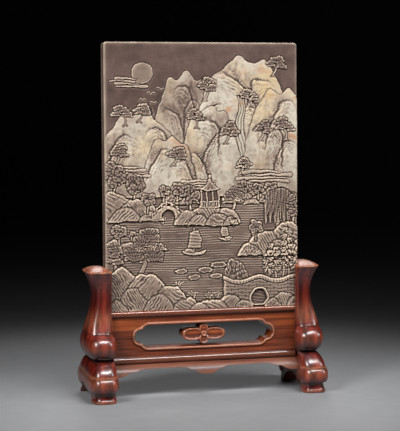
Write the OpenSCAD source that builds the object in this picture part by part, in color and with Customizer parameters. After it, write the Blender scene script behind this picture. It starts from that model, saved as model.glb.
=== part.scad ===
// Table screen: a carved stone slab that lifts out of a hardwood stand.
// Millimetres. X runs along the screen, Y from front to back, Z up.
// The origin is on the table, under the middle of the slab.

/* [Slab] */
// Width of the stone slab
slab_w = 198; // [170:1:230]
// Height of the stone slab
slab_h = 267.5; // [220:0.5:300]
// Thickness of the slab over the highest carving
slab_t = 20; // [16:0.5:21]
// Depth of the carved ground below the slab's front face
relief_depth = 3; // [2:0.25:4]
// Radius of the slab's upper corners
slab_corner_r = 3; // [1:0.5:6]
// How far each side of the slab reaches into its post
slab_engage = 4; // [3:0.25:5]
// Gap between the slab and its grooves
slab_clear = 0.3; // [0.2:0.05:0.5]
// Depth of the slab's seat in the top rail
seat_depth = 2; // [1:0.25:2.5]

/* [Rails] */
// Height of the bottom rail's underside above the table
bottom_rail_z = 32.5; // [30:0.5:35]
// Height of the bottom rail
bottom_rail_h = 7; // [6.5:0.25:9]
// Height of the top rail
top_rail_h = 6; // [6:0.25:8]
// Depth of both rails, front to back
rail_d = 27; // [26:0.5:29]

/* [Pierced panel] */
// Height of the panel between the rails
panel_h = 40; // [38:0.5:50]
// Thickness of the panel
panel_t = 20; // [17:0.5:22]
// Length of the opening without its round ends
opening_l = 129; // [110:1:135]
// Height of the opening
opening_h = 23; // [22:0.5:26]
// Radius of the opening's corners
opening_corner_r = 8; // [6:0.5:9]
// Radius of the opening's round ends
opening_end_r = 7; // [5:0.5:8]
// Width of the bead round the opening
bead_w = 2.6; // [1.5:0.1:3.5]
// Height of the bead above the panel's face
bead_h = 1.3; // [0.8:0.1:2]

/* [Flower strut] */
// Thickness of the flower
flower_t = 18; // [12:0.5:20]
// Distance from the flower's centre to the tip of a side petal
side_petal_reach = 22; // [18:0.5:26]
// Width of a side petal
side_petal_w = 12; // [9:0.5:13]
// Distance from the flower's centre to the tip of an upright petal
upright_petal_reach = 10; // [8:0.25:10.5]
// Width of an upright petal
upright_petal_w = 9; // [7:0.5:11]
// Width of the rim round each petal
petal_rim = 1.3; // [0.8:0.1:1.8]
// Depth of the hollow in each petal
petal_hollow = 1; // [0.5:0.1:2]
// Radius of the button at the flower's centre
button_r = 3; // [2.5:0.25:3.5]
// Radius of the pegs that hold the flower
peg_r = 1.6; // [1.2:0.1:2]
// Length of each peg inside the panel
peg_l = 4; // [3:0.25:5]

/* [Posts] */
// Height of a post's rim above the top rail
post_above_rail = 40; // [30:0.5:50]
// Height of the flare between the neck and the rim
flare_h = 26; // [20:0.5:28]
// Height of the crease over the belly, above the foot
crease_h = 24.5; // [22:0.5:27]
// Height of the belly's fullest place, above the foot
belly_h = 13; // [11.5:0.5:15]
// Rise of the domed top above the rim
crown_h = 4.5; // [2:0.25:6]
// Half the depth of the post at the rim
rim_half = 24; // [20:0.5:27]
// Half the depth of the post at the neck
neck_half = 17; // [16:0.5:20]
// Half the depth of the post at the crease
crease_half = 23.5; // [22:0.5:27]
// Half the depth of the post at the belly
belly_half = 35; // [32:0.5:38]
// Half the depth of the post and the foot at the waist
waist_half = 26; // [24:0.5:28]
// Thickness of the post at the rim
rim_t = 24.5; // [20:0.5:26.5]
// Thickness of the post at the neck
neck_t = 16.5; // [14.5:0.25:18.5]
// Thickness of the post at the belly
belly_t = 27; // [25.5:0.5:30]
// Thickness of the post and the foot at the waist
waist_t = 18.5; // [18.25:0.25:21]
// How far the belly swells past the inner face, in front of the panel and behind it
belly_swell = 3; // [0.5:0.25:4]
// Roundness of the section at the rim, from 0.3, nearly square, to 1, oval
rim_round = 0.55; // [0.4:0.05:0.8]
// Roundness of the section at the neck
neck_round = 0.45; // [0.4:0.05:0.6]
// Roundness of the section at the belly
belly_round = 0.6; // [0.4:0.05:0.75]
// Roundness of the section at the waist
waist_round = 0.55; // [0.4:0.05:0.7]

/* [Feet] */
// Height of the foot's top above the bottom rail
foot_lip = 0.5; // [0:0.25:1]
// Height of the crease across the foot's shoulder
shoulder_z = 25.5; // [24:0.5:28]
// Height of the foot's most forward place
toe_z = 16.5; // [14.5:0.5:18.5]
// Height of the narrow place over the pads
ankle_z = 9.5; // [8:0.25:11]
// Height of the pads' upright edge
pad_h = 2.5; // [1.5:0.25:4]
// Half the depth of the foot at the shoulder
shoulder_half = 43; // [40:0.5:45]
// Half the depth of the foot at the toes
toe_half = 49; // [46:0.5:53]
// Half the depth of the foot over the pads
ankle_half = 42.5; // [40:0.5:44]
// Half the depth of the foot across its pads
pad_half = 45; // [43:0.5:47]
// Thickness of the foot at the shoulder
shoulder_t = 26; // [24:0.5:27]
// Thickness of the foot at the toes
toe_t = 27.5; // [26:0.5:30]
// Thickness of the foot over the pads
ankle_t = 24; // [22:0.5:25]
// Thickness of the pads, from the stand's inner face
pad_t = 25; // [24:0.5:27]
// How far the toes swell past the foot's inner face, in front of the aprons and behind them
toe_swell = 2; // [0.5:0.25:3]
// Roundness of the section at the shoulder
shoulder_round = 0.5; // [0.4:0.05:0.7]
// Roundness of the section at the toes
toe_round = 0.5; // [0.4:0.05:0.7]
// Roundness of the section over and across the pads
pad_round = 0.45; // [0.4:0.05:0.7]
// How far the pads stand back from the foot's inner face
pad_inset = 0.2; // [0:0.1:1]
// Width of the worn edge under the pads
pad_chamfer = 0.7; // [0.3:0.1:1.2]
// Height of the arch under the foot
arch_h = 15.5; // [12:0.5:18]
// Half the width of the arch at the table
arch_half = 31; // [27:0.5:33]

/* [Aprons] */
// Radius of an apron's round outer face
apron_r = 12.5; // [12.5:0.25:14]
// Thickness of an apron
apron_t = 4.5; // [3.5:0.25:5.5]
// Distance from the middle of the stand to an apron's back edge
apron_y = 9; // [8.5:0.25:9.5]
// Height of an apron along its straight stretches
apron_band_h = 4.25; // [3.5:0.25:6]
// Height of an apron at its middle lobe and its ends
apron_lobe_h = 11.25; // [9:0.25:12]
// Half the length of the middle lobe
apron_lobe_half = 22; // [16:1:28]
// Length of the drop at each end
apron_end_l = 30; // [22:1:36]

/* [Joints] */
// Gap between a tenon or tongue and its mortise or groove
joint_clear = 0.15; // [0.05:0.05:0.25]
// Length of the rails' tenons
rail_tenon_l = 8; // [6:0.25:8.5]
// Width of the rails' tenons, front to back
rail_tenon_d = 14; // [10:0.5:18]
// Height of the rails' tenons
rail_tenon_h = 3; // [2:0.25:3.25]
// Thickness of the panel's tongues
tongue_t = 6; // [4:0.5:8]
// Length of every tongue
tongue_l = 2; // [1.5:0.25:2.25]
// Distance from the ends of the panel's upright edges to its side tongues
tongue_set_in = 2; // [1:0.25:4]
// Thickness of the tongues on the aprons
apron_tongue_t = 2.5; // [1.5:0.25:2.75]
// Distance that an apron's stub stands in from the apron's faces
stub_inset = 1; // [0.5:0.1:1.5]
// Length of the post's tenon in the foot
post_tenon_l = 16; // [10:0.5:18]
// Thickness of the post's tenon
post_tenon_t = 7; // [5:0.25:7.5]
// Width of the post's tenon, front to back
post_tenon_d = 22; // [16:0.5:26]
// Wood left between a rail's tenon and the post's tenon
tenon_wall = 1.2; // [0.8:0.1:1.6]

/* [Hidden] */
eps = 0.01;

stone = [0.45, 0.40, 0.37];
red_wood = [0.40, 0.13, 0.08];
brown_wood = [0.46, 0.24, 0.14];

// Heights in the stack of rails, panel and slab
panel_z = bottom_rail_z + bottom_rail_h;
opening_z = panel_z + panel_h / 2;
top_rail_z = panel_z + panel_h;
rail_top = top_rail_z + top_rail_h;
seat_z = rail_top - seat_depth;

// Places along a post and a foot
inner_x = slab_w / 2 - slab_engage;
foot_top = panel_z + foot_lip;
belly_z = foot_top + belly_h;
crease_z = foot_top + crease_h;
rim_z = rail_top + post_above_rail;
neck_z = rim_z - flare_h;
groove_w = slab_t + 2 * slab_clear;
groove_l = slab_engage + slab_clear;
post_tenon_x = rail_tenon_l + joint_clear + tenon_wall;
arch_r = (arch_half * arch_half + arch_h * arch_h) / (2 * arch_h);

// Half the depth of the flat inner faces, where the rails, the panel and the aprons meet them
post_flat = rail_d / 2 + 1;
foot_flat = apron_y + apron_r + 5.5;

// Points round a carved section, and the shares that shape its curves
around = 40;
flat_bite = 0.06;
lip_w = 5;
flare_power = 2.3;
sweep_power = 1.5;
crease_turn = 68;
shoulder_power = 0.6;
petal_power = 0.85;

function mix(a, b, s) = a + (b - a) * s;
function wave(s) = (1 - cos(180 * min(1, max(0, s)))) / 2;
function swell(c, power) = sign(c) * pow(abs(c), power);

// Height of a curve that rises to a rounded step, then to a second, fuller one
function two_steps(s, first = 0.4, share = 0.42) =
    s < share ? first * sin(90 * s / share)
    : mix(first, 1, sin(90 * min(1, (s - share) / share)));

// A box centred on Y, from its lower corner in X and Z
module block(x, z, l, d, h) {
    translate([x, -d / 2, z]) cube([l, d, h]);
}

// A flat outline stood upright, centred on Y
module upright(z, t) {
    translate([0, t / 2, z]) rotate([90, 0, 0]) linear_extrude(t) children();
}

// A flat outline in Y and Z, drawn out along X from the middle both ways
module along(l) {
    translate([-l / 2, 0, 0]) rotate([90, 0, 90]) linear_extrude(l) children();
}

module both_ends() {
    for (side = [0, 1]) mirror([side, 0, 0]) translate([inner_x, 0, 0]) children();
}

module both_faces() {
    for (side = [0, 1]) mirror([0, side, 0]) children();
}

// Level ring round a post or foot: soft corners, and an inner face on X = inset that is flat over a given
// half depth and swells inwards beyond it
function ring(z, size, flat, inset = 0) =
    let (mid = (size[1] - inset) / 2, bite = flat_bite * size[1] + size[3])
    [for (i = [0 : around - 1])
        let (t = 360 * i / around, c = swell(cos(t), size[2]), y = size[0] * swell(sin(t), size[2]))
        [inset + max(-size[3] * wave((abs(y) - flat) / lip_w), mid + c * (c < 0 ? mid + bite : mid)), y, z]];

// Solid skinned over rings of equal length, from the lowest to the highest
module skin(rings) {
    n = len(rings[0]);
    top = (len(rings) - 1) * n;
    sides = [for (k = [0 : n : top - 1]) for (i = [0 : n - 1])
        let (a = k + i, b = k + (i + 1) % n)
        each [[a, a + n, b], [b, a + n, b + n]]];
    caps = [for (i = [1 : n - 2])
        each [[0, i, i + 1], [top, top + i + 1, top + i]]];
    polyhedron([for (r = rings) each r], concat(sides, caps));
}

// Half depth, thickness, roundness and inward swell at each place along a post and a foot
rim = [rim_half, rim_t, rim_round, 0];
neck = [neck_half, neck_t, neck_round, 0];
belly = [belly_half, belly_t, belly_round, belly_swell];
waist = [waist_half, waist_t, waist_round, 0];
shoulder = [shoulder_half, shoulder_t, shoulder_round, toe_swell / 2];
toe = [toe_half, toe_t, toe_round, toe_swell];
ankle = [ankle_half, ankle_t, pad_round, 0];
pad = [pad_half, pad_t, pad_round, 0];
sole = pad - [pad_chamfer, pad_chamfer, 0, 0];

function post_ring(z, size) = ring(z, size, post_flat);
function foot_ring(z, size, inset = 0) = ring(z, size, foot_flat, inset);

// Section between the belly and the neck at height z, with its own half depth and swell
function sweep(z, half, swelling = 0) =
    let (s = wave((z - belly_z) / (neck_z - belly_z)))
    [half, mix(belly_t, neck_t, s), mix(belly_round, neck_round, s), swelling];

// Ring of the domed top, shrunk towards the middle of the rim
function crown_ring(s) =
    [for (p = post_ring(rim_z, rim))
        [mix(rim_t / 2, p[0], s), p[1] * s, rim_z + crown_h * (1 - s * s)]];

// A post swells from the waist to the belly, breaks at the crease, then sweeps to the neck and flares
function post_rings() = concat(
    [for (a = [0 : 15 : 90]) post_ring(mix(belly_z, foot_top, cos(a)), mix(waist, belly, sin(a)))],
    [for (i = [1 : 5])
        let (a = i / 5 * crease_turn, z = mix(belly_z, crease_z, sin(a) / sin(crease_turn)),
            c = (cos(a) - cos(crease_turn)) / (1 - cos(crease_turn)))
        post_ring(z, sweep(z, mix(crease_half, belly_half, c), belly_swell * c))],
    [for (i = [1 : 9])
        let (s = i / 9, z = mix(crease_z, neck_z, s))
        post_ring(z, sweep(z, mix(neck_half, crease_half, pow(1 - s, sweep_power))))],
    [for (i = [1 : 7]) let (s = i / 7)
        post_ring(mix(neck_z, rim_z, s), mix(neck, rim, pow(s, flare_power)))],
    [for (s = [0.9, 0.65, 0.35, 0.1]) crown_ring(s)]);

// A foot rises from its pads through the ankle and the toes to the shoulder and the waist
function foot_rings() = concat(
    [foot_ring(0, sole, pad_inset + pad_chamfer)],
    [for (z = [pad_chamfer, pad_h]) foot_ring(z, pad, pad_inset)],
    [for (a = [30 : 30 : 90])
        foot_ring(mix(pad_h, ankle_z, 1 - cos(a)), mix(pad, ankle, sin(a)), pad_inset * cos(a))],
    [for (a = [18 : 18 : 90]) foot_ring(mix(ankle_z, toe_z, 1 - cos(a)), mix(ankle, toe, sin(a)))],
    [for (a = [22.5 : 22.5 : 90]) foot_ring(mix(toe_z, shoulder_z, sin(a)), mix(shoulder, toe, cos(a)))],
    [for (i = [1 : 6]) let (s = i / 6)
        foot_ring(mix(shoulder_z, foot_top, s), mix(waist, shoulder, pow(1 - pow(s, 1.5), shoulder_power)))]);

// Tenon of a rail, centred at height z, pointing outwards from the inner face
module rail_tenon(z, clear = 0) {
    block(-eps, z - rail_tenon_h / 2 - clear, rail_tenon_l + eps + clear,
        rail_tenon_d + 2 * clear, rail_tenon_h + 2 * clear);
}

module top_rail_tenon(clear = 0) { rail_tenon((top_rail_z + seat_z) / 2, clear); }
module bottom_rail_tenon(clear = 0) { rail_tenon(bottom_rail_z + bottom_rail_h / 2, clear); }

// Tenon under a post, let into the foot
module post_tenon(clear = 0) {
    block(post_tenon_x - clear, foot_top - post_tenon_l - clear, post_tenon_t + 2 * clear,
        post_tenon_d + 2 * clear, post_tenon_l + clear + eps);
}

// Tongue on the panel's upright edge, let into the post
module side_tongue(clear = 0) {
    z0 = foot_top + tongue_set_in - clear;
    z1 = top_rail_z - tongue_set_in + clear;
    block(-eps, z0, tongue_l + eps + clear, tongue_t + 2 * clear, z1 - z0);
}

// The right-hand post, with its inner face on X = 0
module post() {
    difference() {
        union() {
            skin(post_rings());
            post_tenon();
        }
        block(-eps, seat_z, groove_l + eps, groove_w, rim_z + crown_h);
        top_rail_tenon(joint_clear);
        side_tongue(joint_clear);
    }
}

// The right-hand foot, with its inner face on X = 0
module foot() {
    difference() {
        skin(foot_rings());
        translate([-toe_swell - eps, 0, arch_h - arch_r]) rotate([0, 90, 0])
            cylinder(r = arch_r, h = toe_t + toe_swell + 2 * eps, $fn = 96);
        post_tenon(joint_clear);
        bottom_rail_tenon(joint_clear);
        both_faces() apron_stub(joint_clear);
    }
}

module left_post() { color(red_wood) mirror([1, 0, 0]) translate([inner_x, 0, 0]) post(); }
module right_post() { color(red_wood) translate([inner_x, 0, 0]) post(); }
module left_foot() { color(red_wood) mirror([1, 0, 0]) translate([inner_x, 0, 0]) foot(); }
module right_foot() { color(red_wood) translate([inner_x, 0, 0]) foot(); }

// Rail with round noses at its front and back
module nosed_rail(z, h) {
    nose = rail_d / 2 - h / 2;
    along(2 * inner_x) translate([0, z + h / 2]) {
        square([2 * nose, h], center = true);
        for (side = [-1, 1]) translate([side * nose, 0]) circle(d = h, $fn = 48);
    }
}

// Tongue along an edge of the panel that lies at height z, in a groove up or down from there
module edge_tongue(z, up, clear = 0) {
    reach = tongue_l + clear;
    block(-inner_x, up ? z - eps : z - reach, 2 * inner_x, tongue_t + 2 * clear, reach + eps);
}

module top_rail() {
    color(brown_wood) difference() {
        union() {
            nosed_rail(top_rail_z, top_rail_h);
            both_ends() top_rail_tenon();
        }
        block(-inner_x - rail_tenon_l, seat_z, 2 * (inner_x + rail_tenon_l), groove_w, seat_depth + eps);
        edge_tongue(top_rail_z, true, joint_clear);
    }
}

module bottom_rail() {
    color(brown_wood) difference() {
        union() {
            nosed_rail(bottom_rail_z, bottom_rail_h);
            both_ends() bottom_rail_tenon();
        }
        edge_tongue(panel_z, false, joint_clear);
        both_faces() apron_tongue(joint_clear);
    }
}

// Outline of the long opening: soft corners and a round ear at each end, grown outwards if asked
module opening_outline(grow = 0) {
    corner_x = opening_l / 2 - opening_corner_r;
    corner_z = opening_h / 2 - opening_corner_r;
    square([opening_l + 2 * grow, 2 * corner_z], center = true);
    square([2 * corner_x, opening_h + 2 * grow], center = true);
    for (x = [-1, 1]) {
        for (z = [-1, 1]) translate([x * corner_x, z * corner_z])
            circle(r = opening_corner_r + grow, $fn = 64);
        translate([x * opening_l / 2, 0]) circle(r = opening_end_r + grow, $fn = 64);
    }
}

// Peg through the flower, with both ends in the panel
module flower_peg(clear = 0) {
    reach = opening_h / 2 + peg_l + clear;
    translate([0, 0, opening_z - reach]) cylinder(r = peg_r + clear, h = 2 * reach, $fn = 32);
}

module pierced_panel() {
    color(brown_wood) difference() {
        union() {
            block(-inner_x, panel_z, 2 * inner_x, panel_t, panel_h);
            upright(opening_z, panel_t + 2 * bead_h) opening_outline(bead_w);
            both_ends() side_tongue();
            edge_tongue(top_rail_z, true);
            edge_tongue(panel_z, false);
        }
        upright(opening_z, panel_t + 4 * bead_h) opening_outline();
        flower_peg(joint_clear);
    }
}

// Full oval petal along +X, from the flower's centre out to its tip, drawn in by the rim if asked
module petal(reach, w, drawn_in = 0) {
    half = reach / 2;
    polygon([for (t = [0 : 15 : 345])
        [half + (half - drawn_in) * swell(cos(t), petal_power),
         (w / 2 - drawn_in) * swell(sin(t), petal_power)]]);
}

module petals(drawn_in = 0) {
    for (turn = [0, 180]) {
        rotate(turn) petal(side_petal_reach, side_petal_w, drawn_in);
        rotate(turn + 90) petal(upright_petal_reach, upright_petal_w, drawn_in);
    }
}

module flower_strut() {
    color(brown_wood) {
        difference() {
            union() {
                upright(opening_z, flower_t) petals();
                flower_peg();
            }
            both_faces() translate([0, (petal_hollow - flower_t) / 2 - eps, 0])
                upright(opening_z, petal_hollow + 2 * eps) petals(petal_rim);
        }
        upright(opening_z, flower_t) circle(r = button_r, $fn = 48);
    }
}

// Depth of the apron's lower edge under the rail, at a distance from the middle
function apron_depth(x) =
    let (from_end = inner_x - x, s = max(1 - x / apron_lobe_half, 1 - from_end / apron_end_l, 0))
    mix(apron_band_h, apron_lobe_h, two_steps(s));

module apron_outline() {
    lobe = [for (i = [-12 : 12]) i * apron_lobe_half / 12];
    drop = [for (i = [0 : 12]) inner_x - apron_end_l + i * apron_end_l / 12];
    xs = concat([for (i = [12 : -1 : 0]) -drop[i]], lobe, drop);
    polygon(concat([for (x = xs) [x, bottom_rail_z - apron_depth(abs(x))]],
        [[inner_x, bottom_rail_z], [-inner_x, bottom_rail_z]]));
}

// Quarter-round strip in front of the apron's back edge, thinned from both faces if asked
module apron_profile(thin = 0) {
    translate([-apron_y, bottom_rail_z - apron_r]) intersection() {
        difference() {
            circle(r = apron_r - thin, $fn = 96);
            circle(r = apron_r - apron_t + thin, $fn = 96);
        }
        translate([-apron_r, 0]) square(apron_r);
    }
}

// Tongue on the apron's top, let into the bottom rail
module apron_tongue(clear = 0) {
    translate([-inner_x, -apron_y - apron_tongue_t - clear, bottom_rail_z - apron_t / 2])
        cube([2 * inner_x, apron_tongue_t + 2 * clear, apron_t / 2 + tongue_l + clear]);
}

// Thin end of the apron's strip, let into the foot
module apron_stub(clear = 0) {
    reach = tongue_l + clear;
    translate([reach / 2 - eps, 0, 0]) along(reach + 2 * eps) intersection() {
        apron_profile(stub_inset - clear);
        translate([-apron_y - apron_r, bottom_rail_z - apron_lobe_h + stub_inset - clear])
            square([apron_r, apron_lobe_h]);
    }
}

module apron() {
    intersection() {
        along(2 * inner_x) apron_profile();
        rotate([90, 0, 0]) linear_extrude(apron_y + 2 * apron_r) apron_outline();
    }
    apron_tongue();
    both_ends() apron_stub();
}

module front_apron() { color(brown_wood) apron(); }
module back_apron() { color(brown_wood) mirror([0, 1, 0]) apron(); }

// The carved picture's masses, back to front, as shares of the slab's width, height and relief:
// middle, half width, foot, top, squareness of the outline, height of the relief
masses = [
    [-0.33, 0.25, 0.43, 0.74, 3, 0.52],
    [0.22, 0.31, 0.44, 0.955, 3, 0.62],
    [0.4, 0.21, 0.428, 0.835, 3, 0.66],
    [0.04, 0.18, 0.424, 0.775, 3, 0.71],
    [-0.17, 0.16, 0.426, 0.65, 3, 0.64],
    [0.035, 0.05, 0.388, 0.455, 12, 0.55],
    [0.035, 0.075, 0.446, 0.497, 1.3, 0.9],
    [-0.465, 0.131, 0.341, 0.46, 3, 0.72],
    [-0.338, 0.116, 0.338, 0.422, 3, 0.7],
    [-0.182, 0.086, 0.345, 0.4, 2, 0.68],
    [0.03, 0.126, 0.325, 0.399, 3, 0.75],
    [-0.076, 0.076, 0.322, 0.376, 3, 0.76],
    [0.126, 0.071, 0.319, 0.38, 3, 0.77],
    [0.4, 0.08, 0.365, 0.455, 3, 0.55],
    [0.4545, 0.131, 0.202, 0.329, 3, 0.8],
    [0.323, 0.106, 0.2035, 0.291, 3, 0.79],
    [0.2424, 0.0657, 0.2005, 0.25, 3, 0.78],
    [-0.043, 0.04, 0.225, 0.3, 4, 0.45],
    [-0.424, 0.1566, 0.004, 0.172, 3, 0.91],
    [-0.293, 0.136, 0.005, 0.141, 3, 0.9],
    [-0.172, 0.106, 0.0034, 0.1, 3, 0.89],
    [-0.096, 0.071, 0.0028, 0.054, 3, 0.88],
    [0.167, 0.062, 0.12, 0.19, 2.5, 0.38],
    [0.305, 0.2, 0.015, 0.12, 14, 0.76],
    [0.136, 0.076, 0.0025, 0.062, 3, 0.92],
    [0.434, 0.086, 0.0044, 0.058, 3, 0.93],
    [0.0455, 0.086, 0.0054, 0.043, 3, 1]];

// Peak, bank, roof or wall with broken shoulders, as an outline from its foot to its top
module mass_outline(mid, half, foot, top, squareness) {
    steps = 20;
    fullness = 0.8;
    broken = 0.06;
    polygon([for (i = [0 : steps])
        let (u = 2 * i / steps - 1,
            dome = pow(1 - pow(abs(u), squareness), fullness),
            notch = broken * (1 - cos(720 * u + 360 * mid)) / 2)
        [slab_w * (mid + half * u), slab_h * mix(foot, top, dome * (1 - notch))]]);
}

module slab_outline() {
    r = slab_corner_r;
    translate([-slab_w / 2, 0]) square([slab_w, slab_h - r]);
    translate([r - slab_w / 2, 0]) square([slab_w - 2 * r, slab_h]);
    for (side = [-1, 1]) translate([side * (slab_w / 2 - r), slab_h - r]) circle(r = r, $fn = 48);
}

// An outline in the slab's own plane, from its back face forwards to the given thickness
module slab_layer(t) {
    translate([0, slab_t / 2, seat_z]) rotate([90, 0, 0]) linear_extrude(t) children();
}

module stone_slab() {
    ground_t = slab_t - relief_depth;
    color(stone) {
        slab_layer(ground_t) slab_outline();
        for (m = masses) slab_layer(ground_t + m[5] * relief_depth) intersection() {
            slab_outline();
            mass_outline(m[0], m[1], m[2], m[3], m[4]);
        }
    }
}

stone_slab();
left_post();
right_post();
left_foot();
right_foot();
top_rail();
bottom_rail();
pierced_panel();
flower_strut();
front_apron();
back_apron();
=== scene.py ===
import bpy
import numpy as np
from mathutils import Matrix


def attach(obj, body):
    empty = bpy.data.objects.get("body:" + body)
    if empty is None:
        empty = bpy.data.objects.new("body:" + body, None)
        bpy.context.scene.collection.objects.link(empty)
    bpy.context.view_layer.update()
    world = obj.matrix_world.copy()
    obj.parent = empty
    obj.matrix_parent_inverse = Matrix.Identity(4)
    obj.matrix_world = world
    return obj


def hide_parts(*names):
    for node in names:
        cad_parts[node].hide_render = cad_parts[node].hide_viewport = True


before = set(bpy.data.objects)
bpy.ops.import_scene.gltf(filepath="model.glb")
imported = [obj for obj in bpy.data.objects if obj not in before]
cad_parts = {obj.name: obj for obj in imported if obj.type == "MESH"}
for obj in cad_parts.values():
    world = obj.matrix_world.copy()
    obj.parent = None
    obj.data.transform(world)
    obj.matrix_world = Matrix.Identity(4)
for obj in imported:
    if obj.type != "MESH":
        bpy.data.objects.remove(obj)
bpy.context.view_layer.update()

mm = 0.001                      # every size below is in millimetres
innerX = 95.0                   # inner faces of the posts and feet


def mix(a, b, s):
    return a + (b - a) * s


def steps(count):               # even steps from 0 to 1, down a column
    return np.linspace(0, 1, count)[:, None]


def ringTurns(count):           # angles of a full turn, along a row
    return np.linspace(0, 2 * np.pi, count, endpoint=False)[None, :]


def hump(x, place, wide):       # a bell curve: 1 at its place and near 0 two widths away
    return np.exp(-((x - place) / wide) ** 2)


def humps(x, table):            # bell curves added up, each with its share, place and width
    return sum(share * hump(x, place, wide) for share, place, wide in table)


def smoothStep(low, high, x):   # 0 below low, 1 above high, with a soft ramp between
    s = np.clip((x - low) / (high - low), 0, 1)
    return s * s * (3 - 2 * s)


# quads of a grid of points, row after row, closed on itself where asked
def gridQuads(rows, cols, loopRows=False, loopCols=False):
    i = np.arange(rows if loopRows else rows - 1)[:, None]
    j = np.arange(cols if loopCols else cols - 1)[None, :]
    i2, j2 = (i + 1) % rows, (j + 1) % cols
    return np.stack([i * cols + j, i * cols + j2, i2 * cols + j2, i2 * cols + j], -1).reshape(-1, 4)


# six times the volume inside the faces: every face as a fan of triangles from its first corner
def insideVolume(points, quads, caps):
    fans = [quads[:, [0, 1, 2]], quads[:, [0, 2, 3]]]
    for cap in caps:
        fans.append(np.stack([np.full(len(cap) - 2, cap[0]), cap[1:-1], cap[2:]], -1))
    a, b, c = (points[np.concatenate(fans)[:, k]] for k in range(3))
    return np.sum(a * np.cross(b, c))


# a mesh object from points in millimetres, quads and end caps, with its faces turned outwards
def makePiece(name, points, quads, caps=(), sharpAngle=38, marks=None):
    points = np.asarray(points, float).reshape(-1, 3)
    quads = np.asarray(quads, int)
    caps = [np.asarray(cap, int) for cap in caps]
    if insideVolume(points, quads, caps) < 0:
        quads = quads[:, ::-1]
        caps = [cap[::-1] for cap in caps]
    corners = np.concatenate([quads.ravel()] + caps).astype(np.int32)
    sizes = np.concatenate([np.full(len(quads), 4)] + [[len(cap)] for cap in caps])
    starts = np.concatenate([[0], np.cumsum(sizes)[:-1]]).astype(np.int32)
    mesh = bpy.data.meshes.new(name)
    mesh.vertices.add(len(points))
    mesh.vertices.foreach_set("co", (points * mm).astype(np.float32).ravel())
    mesh.loops.add(len(corners))
    mesh.loops.foreach_set("vertex_index", corners)
    mesh.polygons.add(len(starts))
    mesh.polygons.foreach_set("loop_start", starts)
    mesh.update(calc_edges=True)
    for mark, values in (marks or {}).items():
        layer = mesh.attributes.new(mark, "FLOAT", "POINT")
        layer.data.foreach_set("value", np.asarray(values, np.float32).ravel())
    obj = bpy.data.objects.new(name, mesh)
    bpy.context.scene.collection.objects.link(obj)
    softShade(obj, sharpAngle)
    return obj


def softShade(obj, sharpAngle):
    obj.data.shade_smooth()
    obj.data.set_sharp_from_angle(angle=np.radians(sharpAngle))


# takes the cutters out of a piece for good and deletes them
def cutAway(obj, cutters, sharpAngle=38):
    for cutter in cutters:
        cut = obj.modifiers.new("cut", "BOOLEAN")
        cut.operation, cut.solver, cut.object = "DIFFERENCE", "EXACT", cutter
    bpy.context.view_layer.update()
    graph = bpy.context.evaluated_depsgraph_get()
    cutMesh = bpy.data.meshes.new_from_object(obj.evaluated_get(graph))
    obj.modifiers.clear()
    obj.data = cutMesh
    cutMesh.name = obj.name
    for cutter in cutters:
        bpy.data.objects.remove(cutter, do_unlink=True)
    softShade(obj, sharpAngle)


# closed loops of points, one after another, joined into a wall with a cap at each end
def makeTube(name, loops, sharpAngle=38, marks=None):
    rows, cols = loops.shape[:2]
    caps = [np.arange(cols)[::-1], (rows - 1) * cols + np.arange(cols)]
    return makePiece(name, loops, gridQuads(rows, cols, loopCols=True), caps, sharpAngle, marks)


# a box: the outline of a rectangle in x and y, carried up from one height to another
def makeBlock(name, low, high):
    (x0, y0, z0), (x1, y1, z1) = low, high
    ring = np.array([[x0, y0], [x1, y0], [x1, y1], [x0, y1]], float)
    return makeTube(name, np.array([np.c_[ring, np.full(4, z)] for z in (z0, z1)]))


# builds a piece on the left, then on the right
def bothSides(build, names, body, node, material):
    for name, side in zip(names, (-1, 1)):
        obj = build(name, side)
        dress(obj, body, (node.format("left" if side < 0 else "right"),), material)


def dress(obj, body, nodes, material):
    obj.data.materials.clear()
    obj.data.materials.append(material)
    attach(obj, body)
    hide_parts(*nodes)
    print("piece", obj.name, len(obj.data.polygons), "faces")


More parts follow.
